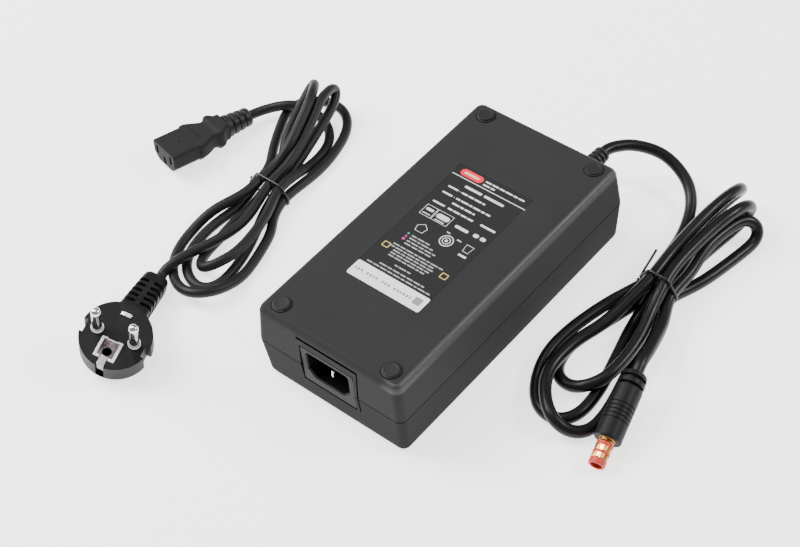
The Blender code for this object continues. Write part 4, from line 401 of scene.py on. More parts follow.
def principled(name, roughness, metallic=0.0, specular=0.5, coat=0.0):
    """New material with its shader, its tree and an Object coordinate output."""
    material = bpy.data.materials.new(name)
    material.use_nodes = True
    tree = material.node_tree
    shader = tree.nodes["Principled BSDF"]
    shader.inputs["Roughness"].default_value = roughness
    shader.inputs["Metallic"].default_value = metallic
    shader.inputs["Specular IOR Level"].default_value = specular
    shader.inputs["Coat Weight"].default_value = coat
    coordinates = tree.nodes.new("ShaderNodeTexCoord")
    return material, tree, shader, coordinates.outputs["Object"]


def blend_colour(tree, factor, low, high):
    """Colour between low and high by factor."""
    node = tree.nodes.new("ShaderNodeMix")
    node.data_type = "RGBA"
    node.inputs["A"].default_value = (*low, 1.0)
    node.inputs["B"].default_value = (*high, 1.0)
    tree.links.new(factor, node.inputs["Factor"])
    return node.outputs["Result"]


def remap(tree, value, low, high):
    """Noise stretched to run from low to high."""
    node = tree.nodes.new("ShaderNodeMapRange")
    node.inputs["From Min"].default_value = 0.3
    node.inputs["From Max"].default_value = 0.7
    node.inputs["To Min"].default_value = low
    node.inputs["To Max"].default_value = high
    tree.links.new(value, node.inputs["Value"])
    return node.outputs["Result"]


def bump(tree, shader, height, strength, distance):
    """Relief of the shader's normal by a height."""
    node = tree.nodes.new("ShaderNodeBump")
    node.inputs["Strength"].default_value = strength
    node.inputs["Distance"].default_value = distance
    tree.links.new(height, node.inputs["Height"])
    tree.links.new(node.outputs["Normal"], shader.inputs["Normal"])


def grained(name, dark, light, rough, pits, strength, specular=0.5):
    """Moulded plastic or rubber: mottled colour, roughness from the same mottling, grain as bump."""
    material, tree, shader, place = principled(name, 0.5, 0.0, specular)
    group = tree.nodes.new("ShaderNodeGroup")
    group.node_tree = bpy.data.node_groups.get("mould_grain") or grain_group()
    group.inputs["Pits per metre"].default_value = pits
    tree.links.new(place, group.inputs["Vector"])
    tree.links.new(blend_colour(tree, group.outputs["Patch"], dark, light), shader.inputs["Base Color"])
    tree.links.new(remap(tree, group.outputs["Patch"], rough[0], rough[1]), shader.inputs["Roughness"])
    bump(tree, shader, group.outputs["Height"], strength, GRAIN_DEPTH)
    return material


def plated_metal(name, colour, roughness, scratch=900.0):
    """Plated contact: colour shifted by slow tarnish, roughness streaked along the piece."""
    material, tree, shader, place = principled(name, roughness, 1.0)
    stretched = tree.nodes.new("ShaderNodeVectorMath")
    stretched.operation = "MULTIPLY"
    stretched.inputs[1].default_value = (1.0, 0.15, 1.0)
    tree.links.new(place, stretched.inputs[0])
    streak = noise(tree, stretched.outputs[0], scratch, 3.0, 0.6)
    tarnish = noise(tree, place, 120.0, 2.0, 0.5)
    worn = tuple(0.82 * c for c in colour)
    tree.links.new(blend_colour(tree, tarnish, worn, colour), shader.inputs["Base Color"])
    tree.links.new(remap(tree, streak, 0.7 * roughness, 1.5 * roughness), shader.inputs["Roughness"])
    bump(tree, shader, streak, 0.03, 0.005 * MM)
    return material


def plain_print(name, colour, roughness=0.45, specular=0.5):
    """Printed or moulded colour with a faint unevenness of tone."""
    material, tree, shader, place = principled(name, roughness, 0.0, specular)
    tone = noise(tree, place, 400.0, 2.0, 0.5)
    shade = tuple(0.9 * c for c in colour)
    tree.links.new(blend_colour(tree, tone, shade, colour), shader.inputs["Base Color"])
    return material


def painted_sheen_edge(material, half, top):
    """Painted sheen on the right top edge: the specular level rises with X and between two heights, painting a
    highlight band along that edge.
    """
    tree = material.node_tree
    shader = tree.nodes["Principled BSDF"]
    split = tree.nodes.new("ShaderNodeSeparateXYZ")
    place = tree.nodes.new("ShaderNodeTexCoord")
    tree.links.new(place.outputs["Object"], split.inputs[0])
    sheen_mask = None
    for axis, end, low, high, first, last in (("Z", top, 4.6, 2.2, 0.0, 1.0), ("Z", top, 0.16, 0.03, 1.0, 0.0),
                                              ("X", half, 12.0, 4.0, 0.0, 1.0)):
        step = tree.nodes.new("ShaderNodeMapRange")
        step.inputs["From Min"].default_value = end - low * MM
        step.inputs["From Max"].default_value = end - high * MM
        step.inputs["To Min"].default_value = first
        step.inputs["To Max"].default_value = last
        tree.links.new(split.outputs[axis], step.inputs["Value"])
        rise = step.outputs["Result"]
        sheen_mask = rise if sheen_mask is None else math_node(tree, "MULTIPLY", sheen_mask, rise)
    level = math_node(tree, "ADD", math_node(tree, "MULTIPLY", sheen_mask, 0.4), 0.02)
    tree.links.new(level, shader.inputs["Specular IOR Level"])


def make_materials(half, top):
    """Every finish of the object, by name."""
    finish = {look: grained(*numbers) for look, numbers in MOULDED.items()}
    finish.update({look: plain_print(*numbers) for look, numbers in PRINTED.items()})
    finish.update({look: plated_metal(*numbers) for look, numbers in PLATED.items()})
    # painted sheen along the base's right top edge
    painted_sheen_edge(finish["base"], half, top)
    return finish


# Shapes

def rounded_path(corners, steps=5, closed=False):
    """Path through (a, b, radius) corners, each corner an arc of its radius: centre + R(turn) * start."""
    path = []
    count = len(corners)
    for index, (x, y, radius) in enumerate(corners):
        here = Vector((x, y))
        open_end = not closed and index in (0, count - 1)
        if open_end or radius <= 0:
            path.append(here)
            continue
        before = (Vector(corners[index - 1][:2]) - here).normalized()
        after = (Vector(corners[(index + 1) % count][:2]) - here).normalized()
        half = before.angle(after) / 2
        if half > math.radians(89.5):
            path.append(here)
            continue
        middle = here + (before + after).normalized() * (radius / math.sin(half))
        start = here + before * (radius / math.tan(half)) - middle
        end = here + after * (radius / math.tan(half)) - middle
        sweep = start.angle_signed(end)
        path += [middle + Matrix.Rotation(-sweep * i / steps, 2) @ start for i in range(steps + 1)]
    return np.array([tuple(point) for point in path])


def rounded_box_ring(half_x, half_y, radius, steps=6):
    """Rounded rectangle as (x, y) points, the same number for any size."""
    corners = [(half_x, half_y, 0), (-half_x, half_y, 90), (-half_x, -half_y, 180), (half_x, -half_y, 270)]
    angles = np.linspace(0, math.pi / 2, steps + 1)
    ring = []
    for x, y, turn in corners:
        theta = angles + math.radians(turn)
        centre = np.array((x - math.copysign(radius, x), y - math.copysign(radius, y)))
        ring.append(centre + radius * np.stack((np.cos(theta), np.sin(theta)), axis=1))
    return np.concatenate(ring)


def mesh_of_grid(name, points, start_cap=True, end_cap=True):
    """Closed skin over points P(u, v), where v runs round and u runs along, with flat end caps."""
    rows, around, _ = points.shape
    bm = bmesh.new()
    verts = [bm.verts.new(p) for p in points.reshape(-1, 3)]
    for u in range(rows - 1):
        for v in range(around):
            w = (v + 1) % around
            bm.faces.new((verts[u * around + v], verts[u * around + w],
                          verts[(u + 1) * around + w], verts[(u + 1) * around + v]))
    if start_cap:
        bm.faces.new(verts[:around])
    if end_cap:
        bm.faces.new(verts[-around:])
    bmesh.ops.remove_doubles(bm, verts=bm.verts, dist=0.0005 * MM)
    bmesh.ops.recalc_face_normals(bm, faces=bm.faces)
    mesh = bpy.data.meshes.new(name)
    bm.to_mesh(mesh)
    bm.free()
    return mesh


def turned_points(profile, steps):
    """P(u, t) = (r(u) cos t, r(u) sin t, h(u)) for a profile of (r, h) points."""
    theta = np.arange(steps) * 2 * math.pi / steps
    radius, height = profile[:, 0:1], profile[:, 1:2]
    return np.stack((radius * np.cos(theta), radius * np.sin(theta), np.repeat(height, steps, axis=1)), axis=2)


def turned(name, corners, steps=72, arc=4):
    """Turned mesh from (radius, height, fillet) corners."""
    profile = rounded_path(corners, arc)
    return mesh_of_grid(name, turned_points(profile, steps), profile[0, 0] > 0, profile[-1, 0] > 0)


def drum(name, radius, low, high, steps=48):
    """Plain cylinder about Z from one height to another."""
    return turned(name, [(0, low, 0), (radius, low, 0), (radius, high, 0), (0, high, 0)], steps)


def ring_mesh(name, corners, steps=72, arc=3):
    """Turned ring from a closed profile of (radius, height, fillet) corners."""
    profile = rounded_path(corners, arc, closed=True)
    profile = np.concatenate((profile, profile[:1]))
    return mesh_of_grid(name, turned_points(profile, steps), False, False)


def prism_mesh(name, outline, low, high):
    """Straight prism over an outline of (x, y) points, from low to high in z."""
    ends = [np.column_stack((outline, np.full(len(outline), z))) for z in (low, high)]
    return mesh_of_grid(name, np.array(ends))


def upright_prism(name, outline, near, far):
    """Prism whose outline is in X and Z, from one Y to another."""
    mesh = prism_mesh(name, outline, near, far)
    mesh.transform(Matrix(((1, 0, 0, 0), (0, 0, 1, 0), (0, 1, 0, 0), (0, 0, 0, 1))))
    mesh.flip_normals()
    return mesh


def in_mm(rows):
    """Rows of numbers in millimetres turned into metres."""
    return [tuple(value * MM for value in row) for row in rows]


def block(name, low, high):
    """Box between two opposite corners in millimetres."""
    return box_mesh(name, *in_mm((low, high)))


def box_mesh(name, low, high):
    """Box between two opposite corners."""
    low, high = Vector(low), Vector(high)
    outline = np.array([(low.x, low.y), (high.x, low.y), (high.x, high.y), (low.x, high.y)])
    return prism_mesh(name, outline, low.z, high.z)


def pose_matrix(origin, across, along):
    """Matrix whose X is across, whose Y is along made square to it, and whose origin is given."""
    x_axis = Vector(across).normalized()
    y_axis = (Vector(along) - x_axis * x_axis.dot(Vector(along))).normalized()
    matrix = Matrix((x_axis, y_axis, x_axis.cross(y_axis))).transposed().to_4x4()
    matrix.translation = origin
    return matrix


def along_matrix(origin, direction):
    """Matrix at origin whose Z points along direction and whose X stays level."""
    z_axis = Vector(direction).normalized()
    x_axis = Vector((0, 0, 1)).cross(z_axis).normalized()
    return pose_matrix(origin, x_axis, z_axis.cross(x_axis))


def link(name, data):
    """New object in the scene, at the origin."""
    obj = bpy.data.objects.new(name, data)
    bpy.context.scene.collection.objects.link(obj)
    return obj


def carve(obj, meshes, operation="DIFFERENCE", pose=None):
    """Boolean of obj with each mesh in turn, applied to its mesh."""
    tools = [link(mesh.name, mesh) for mesh in meshes]
    for tool in tools:
        tool.matrix_world = pose or Matrix.Identity(4)
        modifier = obj.modifiers.new(tool.name, "BOOLEAN")
        modifier.operation = operation
        modifier.solver = "EXACT"
        modifier.object = tool
    apply_modifiers(obj)
    for tool in tools:
        bpy.data.objects.remove(tool, do_unlink=True)
    return obj


def apply_modifiers(obj):
    """The object's mesh as its modifiers leave it."""
    graph = bpy.context.evaluated_depsgraph_get()
    mesh = bpy.data.meshes.new_from_object(obj.evaluated_get(graph))
    obj.modifiers.clear()
    obj.data = mesh


def eased(obj, width, segments=2, angle=38.0):
    """Small radius on every edge sharper than angle, then shading weighted to the flat faces."""
    if width > 0:
        modifier = obj.modifiers.new("Eased edges", "BEVEL")
        modifier.width = width
        modifier.segments = segments
        modifier.limit_method = "ANGLE"
        modifier.angle_limit = math.radians(angle)
        modifier.use_clamp_overlap = True
        apply_modifiers(obj)
    obj.data.shade_smooth()
    obj.data.set_sharp_from_angle(angle=math.radians(angle))
    weighted = obj.modifiers.new("Flat faces first", "WEIGHTED_NORMAL")
    weighted.keep_sharp = True
    apply_modifiers(obj)
    return obj


def piece(name, mesh, material, nodes=(), pose=None, ease=0.0, angle=38.0):
    """Finished rigid piece, standing for the nodes named."""
    obj = link(name, mesh)
    return settle(obj, material, nodes, pose, ease, angle)


def settle(obj, material, nodes=(), pose=None, ease=0.0, angle=38.0):
    """Place taken into the mesh, edges eased, one material, and the nodes it stands for."""
    if pose is not None:
        obj.data.transform(pose)
    eased(obj, ease, angle=angle)
    obj.data.materials.clear()
    obj.data.materials.append(material)
    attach(obj, "root")
    if nodes:
        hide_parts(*nodes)
    return obj


def smooth_route(points, steps=10):
    """Catmull-Rom curve: q(t) = (2p1 + (p2-p0)t + (2p0-5p1+4p2-p3)t^2 + (3p1-p0-3p2+p3)t^3) / 2."""
    knots = np.array(points, dtype=float) * MM
    knots = np.concatenate(([2 * knots[0] - knots[1]], knots, [2 * knots[-1] - knots[-2]]))
    p0, p1, p2, p3 = knots[:-3, None], knots[1:-2, None], knots[2:-1, None], knots[3:, None]
    t = np.linspace(0, 1, steps, endpoint=False)[None, :, None]
    route = 0.5 * (2 * p1 + (p2 - p0) * t + (2 * p0 - 5 * p1 + 4 * p2 - p3) * t ** 2
                   + (3 * p1 - p0 - 3 * p2 + p3) * t ** 3)
    return np.concatenate((route.reshape(-1, 3), knots[-2:-1]))


def eased_route(route, reach, radius):
    """Route taken anew at even steps, each point the mean of its neighbours under a bell curve of that reach.

    No point lies lower than the cord's radius, so the cord lies on the ground and not in it.
    """
    steps = np.linalg.norm(np.diff(route, axis=0), axis=1)
    along = np.concatenate(([0], np.cumsum(steps)))
    places = np.linspace(0, along[-1], int(along[-1] / ROUTE_STEP) + 1)
    even = np.column_stack([np.interp(places, along, route[:, axis]) for axis in range(3)])
    spread = np.minimum(reach, 0.4 * np.minimum(places, along[-1] - places)) + 0.01 * MM
    weight = np.exp(-0.5 * ((places[:, None] - places[None, :]) / spread[:, None]) ** 2)
    eased = (weight / weight.sum(axis=1, keepdims=True)) @ even
    eased[:, 2] = np.maximum(eased[:, 2], radius)
    return eased


def tube(name, route, radius, material, nodes=(), resolution=6):
    """Round tube along a route, as one open spline."""
    curve = bpy.data.curves.new(name, "CURVE")
    curve.dimensions = "3D"
    curve.bevel_depth = radius
    curve.bevel_resolution = resolution
    curve.use_fill_caps = True
    spline = curve.splines.new("POLY")
    spline.points.add(len(route) - 1)
    spline.points.foreach_set("co", np.column_stack((route, np.ones(len(route)))).ravel())
    spline.use_smooth = True
    curve.materials.append(material)
    obj = link(name, curve)
    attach(obj, "root")
    if nodes:
        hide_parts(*nodes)
    return obj


# Camera, floor and light

def place_camera():
    """Camera on a sphere round its target, turned about its own axis by the roll."""
    back = Vector((math.sin(VIEW_AZIMUTH) * math.cos(VIEW_ELEVATION),
                   -math.cos(VIEW_AZIMUTH) * math.cos(VIEW_ELEVATION), math.sin(VIEW_ELEVATION)))
    level = Vector((math.cos(VIEW_AZIMUTH), math.sin(VIEW_AZIMUTH), 0.0))
    up = back.cross(level)
    right = math.cos(VIEW_ROLL) * level + math.sin(VIEW_ROLL) * up
    camera = link("camera", bpy.data.cameras.new("camera"))
    camera.data.lens = VIEW_LENS
    camera.data.sensor_width = 36.0
    camera.data.clip_start = 0.05
    camera.matrix_world = pose_matrix(VIEW_TARGET + back * VIEW_DISTANCE, right, back.cross(right))
    bpy.context.scene.camera = camera


def make_floor():
    """Pale floor that glows like a lit studio sweep."""
    floor = link("floor", box_mesh("floor", (-3.0, -3.0, -0.02), (3.0, 3.0, 0.0)))
    material, tree, shader, place = principled("floor_paper", 0.9, 0.0, 0.2)
    tone = noise(tree, place, 3.0, 2.0, 0.5)
    paper = blend_colour(tree, tone, (0.90, 0.90, 0.90), (0.93, 0.93, 0.93))
    tree.links.new(paper, shader.inputs["Base Color"])
    tree.links.new(paper, shader.inputs["Emission Color"])
    shader.inputs["Emission Strength"].default_value = FLOOR_GLOW
    floor.data.materials.append(material)


def area_light(name, place, target, size, power):
    """Soft rectangular light aimed at a target."""
    light = bpy.data.lights.new(name, "AREA")
    light.shape = "RECTANGLE"
    light.size, light.size_y = size
    light.energy = power
    obj = link(name, light)
    obj.location = place
    obj.rotation_euler = (Vector(target) - Vector(place)).to_track_quat("-Z", "Y").to_euler()


def make_lights():
    """Even surroundings and the studio's lights."""
    world = bpy.data.worlds.new("studio")
    world.use_nodes = True
    world.node_tree.nodes["Background"].inputs["Color"].default_value = (1.0, 1.0, 1.0, 1.0)
    world.node_tree.nodes["Background"].inputs["Strength"].default_value = WORLD_LIGHT
    bpy.context.scene.world = world
    for light in LIGHTS:
        area_light(*light)


# Case

def case_ring(draft_inset, edge_inset, height, half, steps=6):
    """Outline of the case at a height, drawn in by the draft and by the edge's rounding."""
    radius = max(CORNER_RADIUS - edge_inset, 0.8 * MM)
    inset = draft_inset + edge_inset
    ring = rounded_box_ring(half.x - inset, half.y - inset, radius, steps)
    return np.column_stack((ring, np.full(len(ring), height)))


def shell_mesh(name, face, rim, draft, half):
    """Case half as a skin over rings from the inner rim, round the outside and its edge, to the face.

    P(u, v): v runs round the rounded rectangle; u runs up the drafted wall, inset = |z - parting| * draft,
    and over the edge, where the inset grows by R (1 - cos a) and the height by R sin a.
    """
    up = 1 if face > rim else -1
    rings = [case_ring(WALL + 0.4 * MM, 0.0, rim + up * 12 * MM, half), case_ring(WALL, 0.0, rim, half)]
    rings.append(case_ring(RIM_EASE, 0.0, rim, half))
    shoulder = face - up * EDGE_RADIUS
    for height in np.linspace(rim + up * RIM_EASE, shoulder, 5):
        rings.append(case_ring(abs(height - PARTING_HEIGHT) * draft, 0.0, height, half))
    top_inset = abs(face - PARTING_HEIGHT) * draft
    for angle in np.linspace(0, math.pi / 2, 8)[1:]:
        rings.append(case_ring(top_inset, EDGE_RADIUS * (1 - math.cos(angle)),
                               shoulder + up * EDGE_RADIUS * math.sin(angle), half))
    return mesh_of_grid(name, np.array(rings))


def inlet_box(grow):
    """Low and high corners of the inlet's panel window, grown all round."""
    low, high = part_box("inlet_housing")
    flange = 1.9 * MM
    return (low[0] + flange - grow, low[2] + flange - grow), (high[0] - flange + grow, high[2] - flange + grow)


def window_tools(name, half):
    """Cutters for the panel's window and the shadow groove above it and down its right side."""
    (left, low), (right, high) = inlet_box(SEAT_GAP)
    front = -half.y - WALL
    groove_high = high + GROOVE_RISE
    groove_right = right + GROOVE_MARGIN
    top_face = -(half.y - (groove_high - PARTING_HEIGHT) * BASE_DRAFT) + GROOVE_DEPTH
    side_face = -(half.y - (high - PARTING_HEIGHT) * BASE_DRAFT * 0.6) + GROOVE_DEPTH
    return [
        box_mesh(name + "_window", (left - WINDOW_PLAY, front, low - 2 * WINDOW_PLAY),
                 (right, -half.y + 6 * MM, high)),
        box_mesh(name + "_groove_top", (left - 1.9 * MM, front, groove_high - GROOVE_TOP_WIDTH / 2),
                 (groove_right + GROOVE_SIDE_WIDTH / 2, top_face, groove_high + GROOVE_TOP_WIDTH / 2)),
        box_mesh(name + "_groove_side", (groove_right - GROOVE_SIDE_WIDTH / 2, front, low),
                 (groove_right + GROOVE_SIDE_WIDTH / 2, side_face, groove_high)),
    ]


def middle(low, high):
    """Middle of a box in X and Y, at height 0."""
    return Vector(((low[0] + high[0]) / 2, (low[1] + high[1]) / 2, 0.0))


def foot_places():
    """Number, place and radius of each foot, from its node."""
    places = []
    for number in range(1, 5):
        low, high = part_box(f"foot_{number}")
        places.append((number, Matrix.Translation(middle(low, high)), (high[0] - low[0]) / 2))
    return places


def label_boxes():
    """Corners of the label and the lower corner of its strip."""
    label_low, label_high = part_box("rating_label")
    strip_low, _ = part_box("serial_label")
    return label_low, label_high, strip_low


def make_case(finish):
    """Both halves with the label's seat, the feet's seats, the window, its groove and the holes, and painted
    shade in the window and the groove.
    """
    _, base_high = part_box("base_shell")
    half = Vector((base_high[0], base_high[1], 0.0))
    top = base_high[2]
    base_rim, cover_rim = PARTING_HEIGHT + PARTING_GAP / 2, PARTING_HEIGHT - PARTING_GAP / 2
    base = link("case_base", shell_mesh("case_base", top, base_rim, BASE_DRAFT, half))
    cover = link("case_cover", shell_mesh("case_cover", 0.0, cover_rim, COVER_DRAFT, half))
    label_low, label_high, strip_low = label_boxes()
    recess = box_mesh("label_recess",
                      (label_low[0] - LABEL_PLAY, strip_low[1] - LABEL_PLAY, top - LABEL_SEAT_DEPTH),
                      (label_high[0] + LABEL_PLAY, label_high[1] + LABEL_PLAY, top + WALL))
    seats = []
    for number, place, radius in foot_places():
        seats.append(drum(f"foot_seat_{number}", radius + SEAT_GAP, top - FOOT_SEAT_DEPTH, top + WALL, 64))
        seats[-1].transform(place)
    relief_low, relief_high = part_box("strain_relief")
    hole = drum("relief_hole", RELIEF_HOLE_RADIUS, half.y - 6 * MM, half.y + WALL, 64)
    hole.transform(Matrix.Translation((middle(relief_low, relief_high).x, 0, PARTING_HEIGHT)) @ ALONG_Y)
    carve(base, window_tools("base", half) + [recess, *seats, hole.copy()])
    light_low, light_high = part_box("light_pipe")
    light = drum("light_hole", LIGHT_HOLE_RADIUS, -WALL, 2 * WALL)
    light.transform(Matrix.Translation(middle(light_low, light_high)))
    window, _, groove_side = window_tools("cover", half)
    carve(cover, [window, groove_side, hole, light])
    settle(base, finish["base"], ["base_shell"], ease=CASE_EASE)
    # the cover takes the darker copy of the case plastic, painted shade on the lower walls
    settle(cover, finish["case"], ["cover_shell"], ease=CASE_EASE)
    (left, bottom), (right, high) = inlet_box(0.0)
    # faces of the window's ledge and its groove, deeper than the wall, take the near-black finish: painted
    # shade
    for shell, draft in ((base, BASE_DRAFT), (cover, COVER_DRAFT)):
        paint_shade(shell, finish["cavity"], (left - 3 * MM, bottom - 2 * MM), (right + 4 * MM, high + 6 * MM),
                lambda z: abs(z - PARTING_HEIGHT) * draft - half.y + 0.3 * MM)


def make_feet(finish):
    """Each foot is a low disc on a wider step, its rim and its step rounded."""
    for number, place, radius in foot_places():
        low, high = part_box(f"foot_{number}")
        bottom, top, rim = low[2] / MM, high[2] / MM, radius / MM
        corners = [(0, bottom, 0), (rim, bottom, 0), (rim, top - 0.85, 0.18), (rim - 0.55, top - 0.75, 0.1),
                   (rim - 0.65, top, 0.32), (rim - 1.6, top, 0.1), (rim - 1.9, top - 0.12, 0.1),
                   (0, top - 0.12, 0)]
        piece(f"rubber_foot_{number}", turned(f"rubber_foot_{number}", in_mm(corners)), finish["foot"],
              [f"foot_{number}"], place)


def cavity_outline(grow, centre):
    """Outline of the inlet's mouth, its two lower corners cut off."""
    half, rise = CAVITY_WIDTH / 2 + grow, CAVITY_HEIGHT / 2 + grow
    low, high, cut = centre - rise, centre + rise, CAVITY_CHAMFER
    return rounded_path([(-half, high, 1.6 * MM), (-half, low + cut, 1.0 * MM), (-half + cut, low, 1.0 * MM),
                         (half - cut, low, 1.0 * MM), (half, low + cut, 1.0 * MM), (half, high, 1.6 * MM)],
                        6, closed=True)


def make_inlet(finish):
    """Panel, flange and sleeve in one, the mouth with its lead-in, and the blades."""
    low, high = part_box("inlet_housing")
    (left, bottom), (right, top) = inlet_box(0.0)
    face, back = low[1], high[1]
    centre = (bottom + top) / 2 + CAVITY_RISE
    panel = rounded_path([(left, bottom, 0.9 * MM), (right, bottom, 0.9 * MM), (right, top, 0.9 * MM),
                          (left, top, 0.9 * MM)], 5, closed=True)
    housing = link("inlet_body", upright_prism("inlet_body", panel, face, face + 3.4 * MM))
    flange = np.array([(low[0], low[2]), (high[0], low[2]), (high[0], high[2]), (low[0], high[2])])
    carve(housing, [upright_prism("inlet_flange", flange, face + 2.95 * MM, face + 4.5 * MM),
                    upright_prism("inlet_sleeve", cavity_outline(2.0 * MM, centre), face + MM, back)], "UNION")
    mouth = upright_prism("inlet_mouth", cavity_outline(0.0, centre), face - WALL, face + CAVITY_DEPTH)
    carve(housing, [mouth])
    lead_in = upright_prism("inlet_lead_in", cavity_outline(0.45 * MM, centre), face - WALL, face + 0.5 * MM)
    carve(housing, [lead_in])
    settle(housing, finish["inlet"], ["inlet_housing"], ease=0.14 * MM)
    reach, rise = CAVITY_WIDTH / 2 + 0.3 * MM, CAVITY_HEIGHT / 2 + 0.3 * MM
    # inside the mouth, faces deeper than 0.7 mm take the near-black finish: painted shade
    paint_shade(housing, finish["cavity"], (-reach, centre - rise), (reach, centre + rise),
            lambda z: face + 0.7 * MM)
    for name in ("live", "neutral", "earth"):
        make_inlet_pin(name, finish)


def paint_shade(obj, material, low, high, inside):
    """Painted shade: a second finish, the given dark material, for every face whose centre lies between two X,
    Z corners and deeper than inside says.
    """
    obj.data.materials.append(material)
    for polygon in obj.data.polygons:
        x, y, z = polygon.center
        if low[0] < x < high[0] and low[1] < z < high[1] and y > inside(z):
            polygon.material_index = 1


def make_inlet_pin(name, finish):
    """Flat blade with its tip drawn in on all four sides."""
    low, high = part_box(f"inlet_pin_{name}")
    x = (low[0] + high[0]) / 2
    thick = (high[0] - low[0]) / 2
    bottom, top = low[2], low[2] + 4.0 * MM
    z, tall = (bottom + top) / 2, (top - bottom) / 2
    rings = []
    for y, shrink in ((low[1], 0.55 * MM), (low[1] + 0.5 * MM, 0.2 * MM), (low[1] + 1.1 * MM, 0.0),
                      (high[1], 0.0)):
        ring = rounded_box_ring(thick - shrink, tall - shrink, 0.3 * MM, 3)
        rings.append(np.column_stack((x + ring[:, 0], np.full(len(ring), y), z + ring[:, 1])))
    blade = link(f"inlet_blade_{name}", mesh_of_grid(f"inlet_blade_{name}", np.array(rings)))
    tail = box_mesh(f"inlet_tail_{name}", (low[0], high[1] - 3.6 * MM, top - 0.5 * MM),
                    (high[0], high[1] - 0.05 * MM, high[2]))
    carve(blade, [tail], "UNION")
    # live and neutral blades take the darker copy of the nickel: painted shade
    settle(blade, finish["nickel" if name == "earth" else "shaded"], [f"inlet_pin_{name}"])


# Label

def mark_outline(x, y, width, height, radius=0.0):
    """Outline of a rounded bar whose left end is at x and whose middle is at y."""
    radius = min(radius or 0.2 * MM, height * 0.49, width * 0.49)
    ring = rounded_box_ring(width / 2, height / 2, radius, 3)
    return ring + np.array((x + width / 2, y))


def add_mark(bm, outline, low):
    """Thin raised patch of ink over an outline."""
    mesh = prism_mesh("mark", outline, low, low + LABEL_INK_HEIGHT)
    bm.from_mesh(mesh)
    bpy.data.meshes.remove(mesh)


def add_frame(bm, outer, inner, low):
    """Closed band of ink between two outlines with equal numbers of points."""
    rows = [(outer, low), (outer, low + LABEL_INK_HEIGHT), (inner, low + LABEL_INK_HEIGHT), (inner, low),
            (outer, low)]
    points = np.array([np.column_stack((ring, np.full(len(ring), z))) for ring, z in rows])
    mesh = mesh_of_grid("frame", points, False, False)
    bm.from_mesh(mesh)
    bpy.data.meshes.remove(mesh)


def word_widths(total, seed):
    """Lengths of the bars that stand for words in a line: a repeating, uneven sequence."""
    widths, left, index = [], total, seed
    while left > 1.2 * MM:
        width = (1.6 + 2.6 * abs(math.sin(1.7 * index + 0.6))) * MM
        widths.append(min(width, left))
        left -= width + WORD_GAP
        index += 1
    return widths


def text_line(bm, x, y, total, height, low, seed):
    """Line of bars, one for each word."""
    for width in word_widths(total, seed):
        add_mark(bm, mark_outline(x, y, width, height, 0.25 * height), low)
        x += width + WORD_GAP


def circle(x, y, radius, steps=36):
    """Points (x + r cos t, y + r sin t)."""
    theta = np.arange(steps) * 2 * math.pi / steps
    return np.column_stack((x + radius * np.cos(theta), y + radius * np.sin(theta)))


def add_ring(bm, x, y, radius, width, low):
    """Round band of ink."""
    add_frame(bm, circle(x, y, radius), circle(x, y, radius - width), low)


def polygon_frame(bm, corners, width, low):
    """Outline drawing of a convex polygon, its line a width wide."""
    corners = np.array(corners)
    middle = corners.mean(axis=0)
    reach = np.linalg.norm(corners - middle, axis=1, keepdims=True)
    add_frame(bm, corners, middle + (corners - middle) * (1 - 1.5 * width / reach), low)


def ink_piece(name, draw, material, low):
    """One piece from everything that a drawing function adds."""
    bm = bmesh.new()
    draw(bm, low)
    mesh = bpy.data.meshes.new(name)
    bm.to_mesh(mesh)
    bm.free()
    piece(name, mesh, material)


def draw_bars(bm, bars, low):
    """One rounded bar for each row of numbers."""
    for bar in bars:
        add_mark(bm, mark_outline(*(value * MM for value in bar)), low)


def draw_lines(bm, lines, height, low):
    """One line of bars for each row of numbers, all of one height."""
    for x, y, total, seed in lines:
        text_line(bm, x * MM, y * MM, total * MM, height, low, seed)


def draw_dots(bm, dots, low, steps=20):
    """One round dot for each row of numbers."""
    for x, y, radius in dots:
        add_mark(bm, circle(x * MM, y * MM, radius * MM, steps), low)


def draw_white(bm, low):
    """Heading and its rule, title, rating lines and symbols, all as plain bars and outlines."""
    draw_lines(bm, HEADING_LINES, 0.95 * MM, low)
    draw_lines(bm, RATING_LINES, 1.0 * MM, low)
    draw_bars(bm, TITLE_BARS + RATING_BARS + SYMBOL_BARS, low)
    draw_dots(bm, RATING_DOTS, low, 8)
    for corners in SYMBOL_OUTLINES:
        polygon_frame(bm, np.array(corners) * MM, SYMBOL_LINE_WIDTH * MM, low)
    x, y = RING_CENTRE
    for radius, width in RINGS:
        add_ring(bm, x * MM, y * MM, radius * MM, width * MM, low)
    draw_dots(bm, [(x, y, RING_DOT_RADIUS)], low, 16)


def draw_small_print(bm, low):
    """Lines of small print beside the dots, across the lower half and above the strip."""
    draw_lines(bm, SMALL_LINES, 0.75 * MM, low)


def draw_yellow(bm, low):
    """Two outlines of rounded squares."""
    ring = rounded_box_ring(1.9 * MM, 1.7 * MM, 0.6 * MM, 3)
    for place in YELLOW_PLACES:
        centre = np.array(place) * MM
        add_frame(bm, ring + centre, ring * 0.74 + centre, low)


def draw_strip(bm, low):
    """Row of short dark bars on the white strip and a plain field at its end."""
    x = -20.0
    for index in range(19):
        width = 0.75 + 0.45 * abs(math.sin(2.1 * index))
        if index not in STRIP_BAR_GAPS:
            draw_bars(bm, [(x, -37.6, width, 1.5, 0.2)], low)
        x += width + 0.75
    draw_bars(bm, [STRIP_FIELD], low)


def draw_red_field(bm, low):
    draw_bars(bm, [RED_FIELD], low)


def draw_red_field_bar(bm, low):
    draw_bars(bm, [RED_FIELD_BAR], low)


def draw_green_dot(bm, low):
    draw_dots(bm, GREEN_DOTS, low)


def draw_magenta_dots(bm, low):
    draw_dots(bm, MAGENTA_DOTS, low)


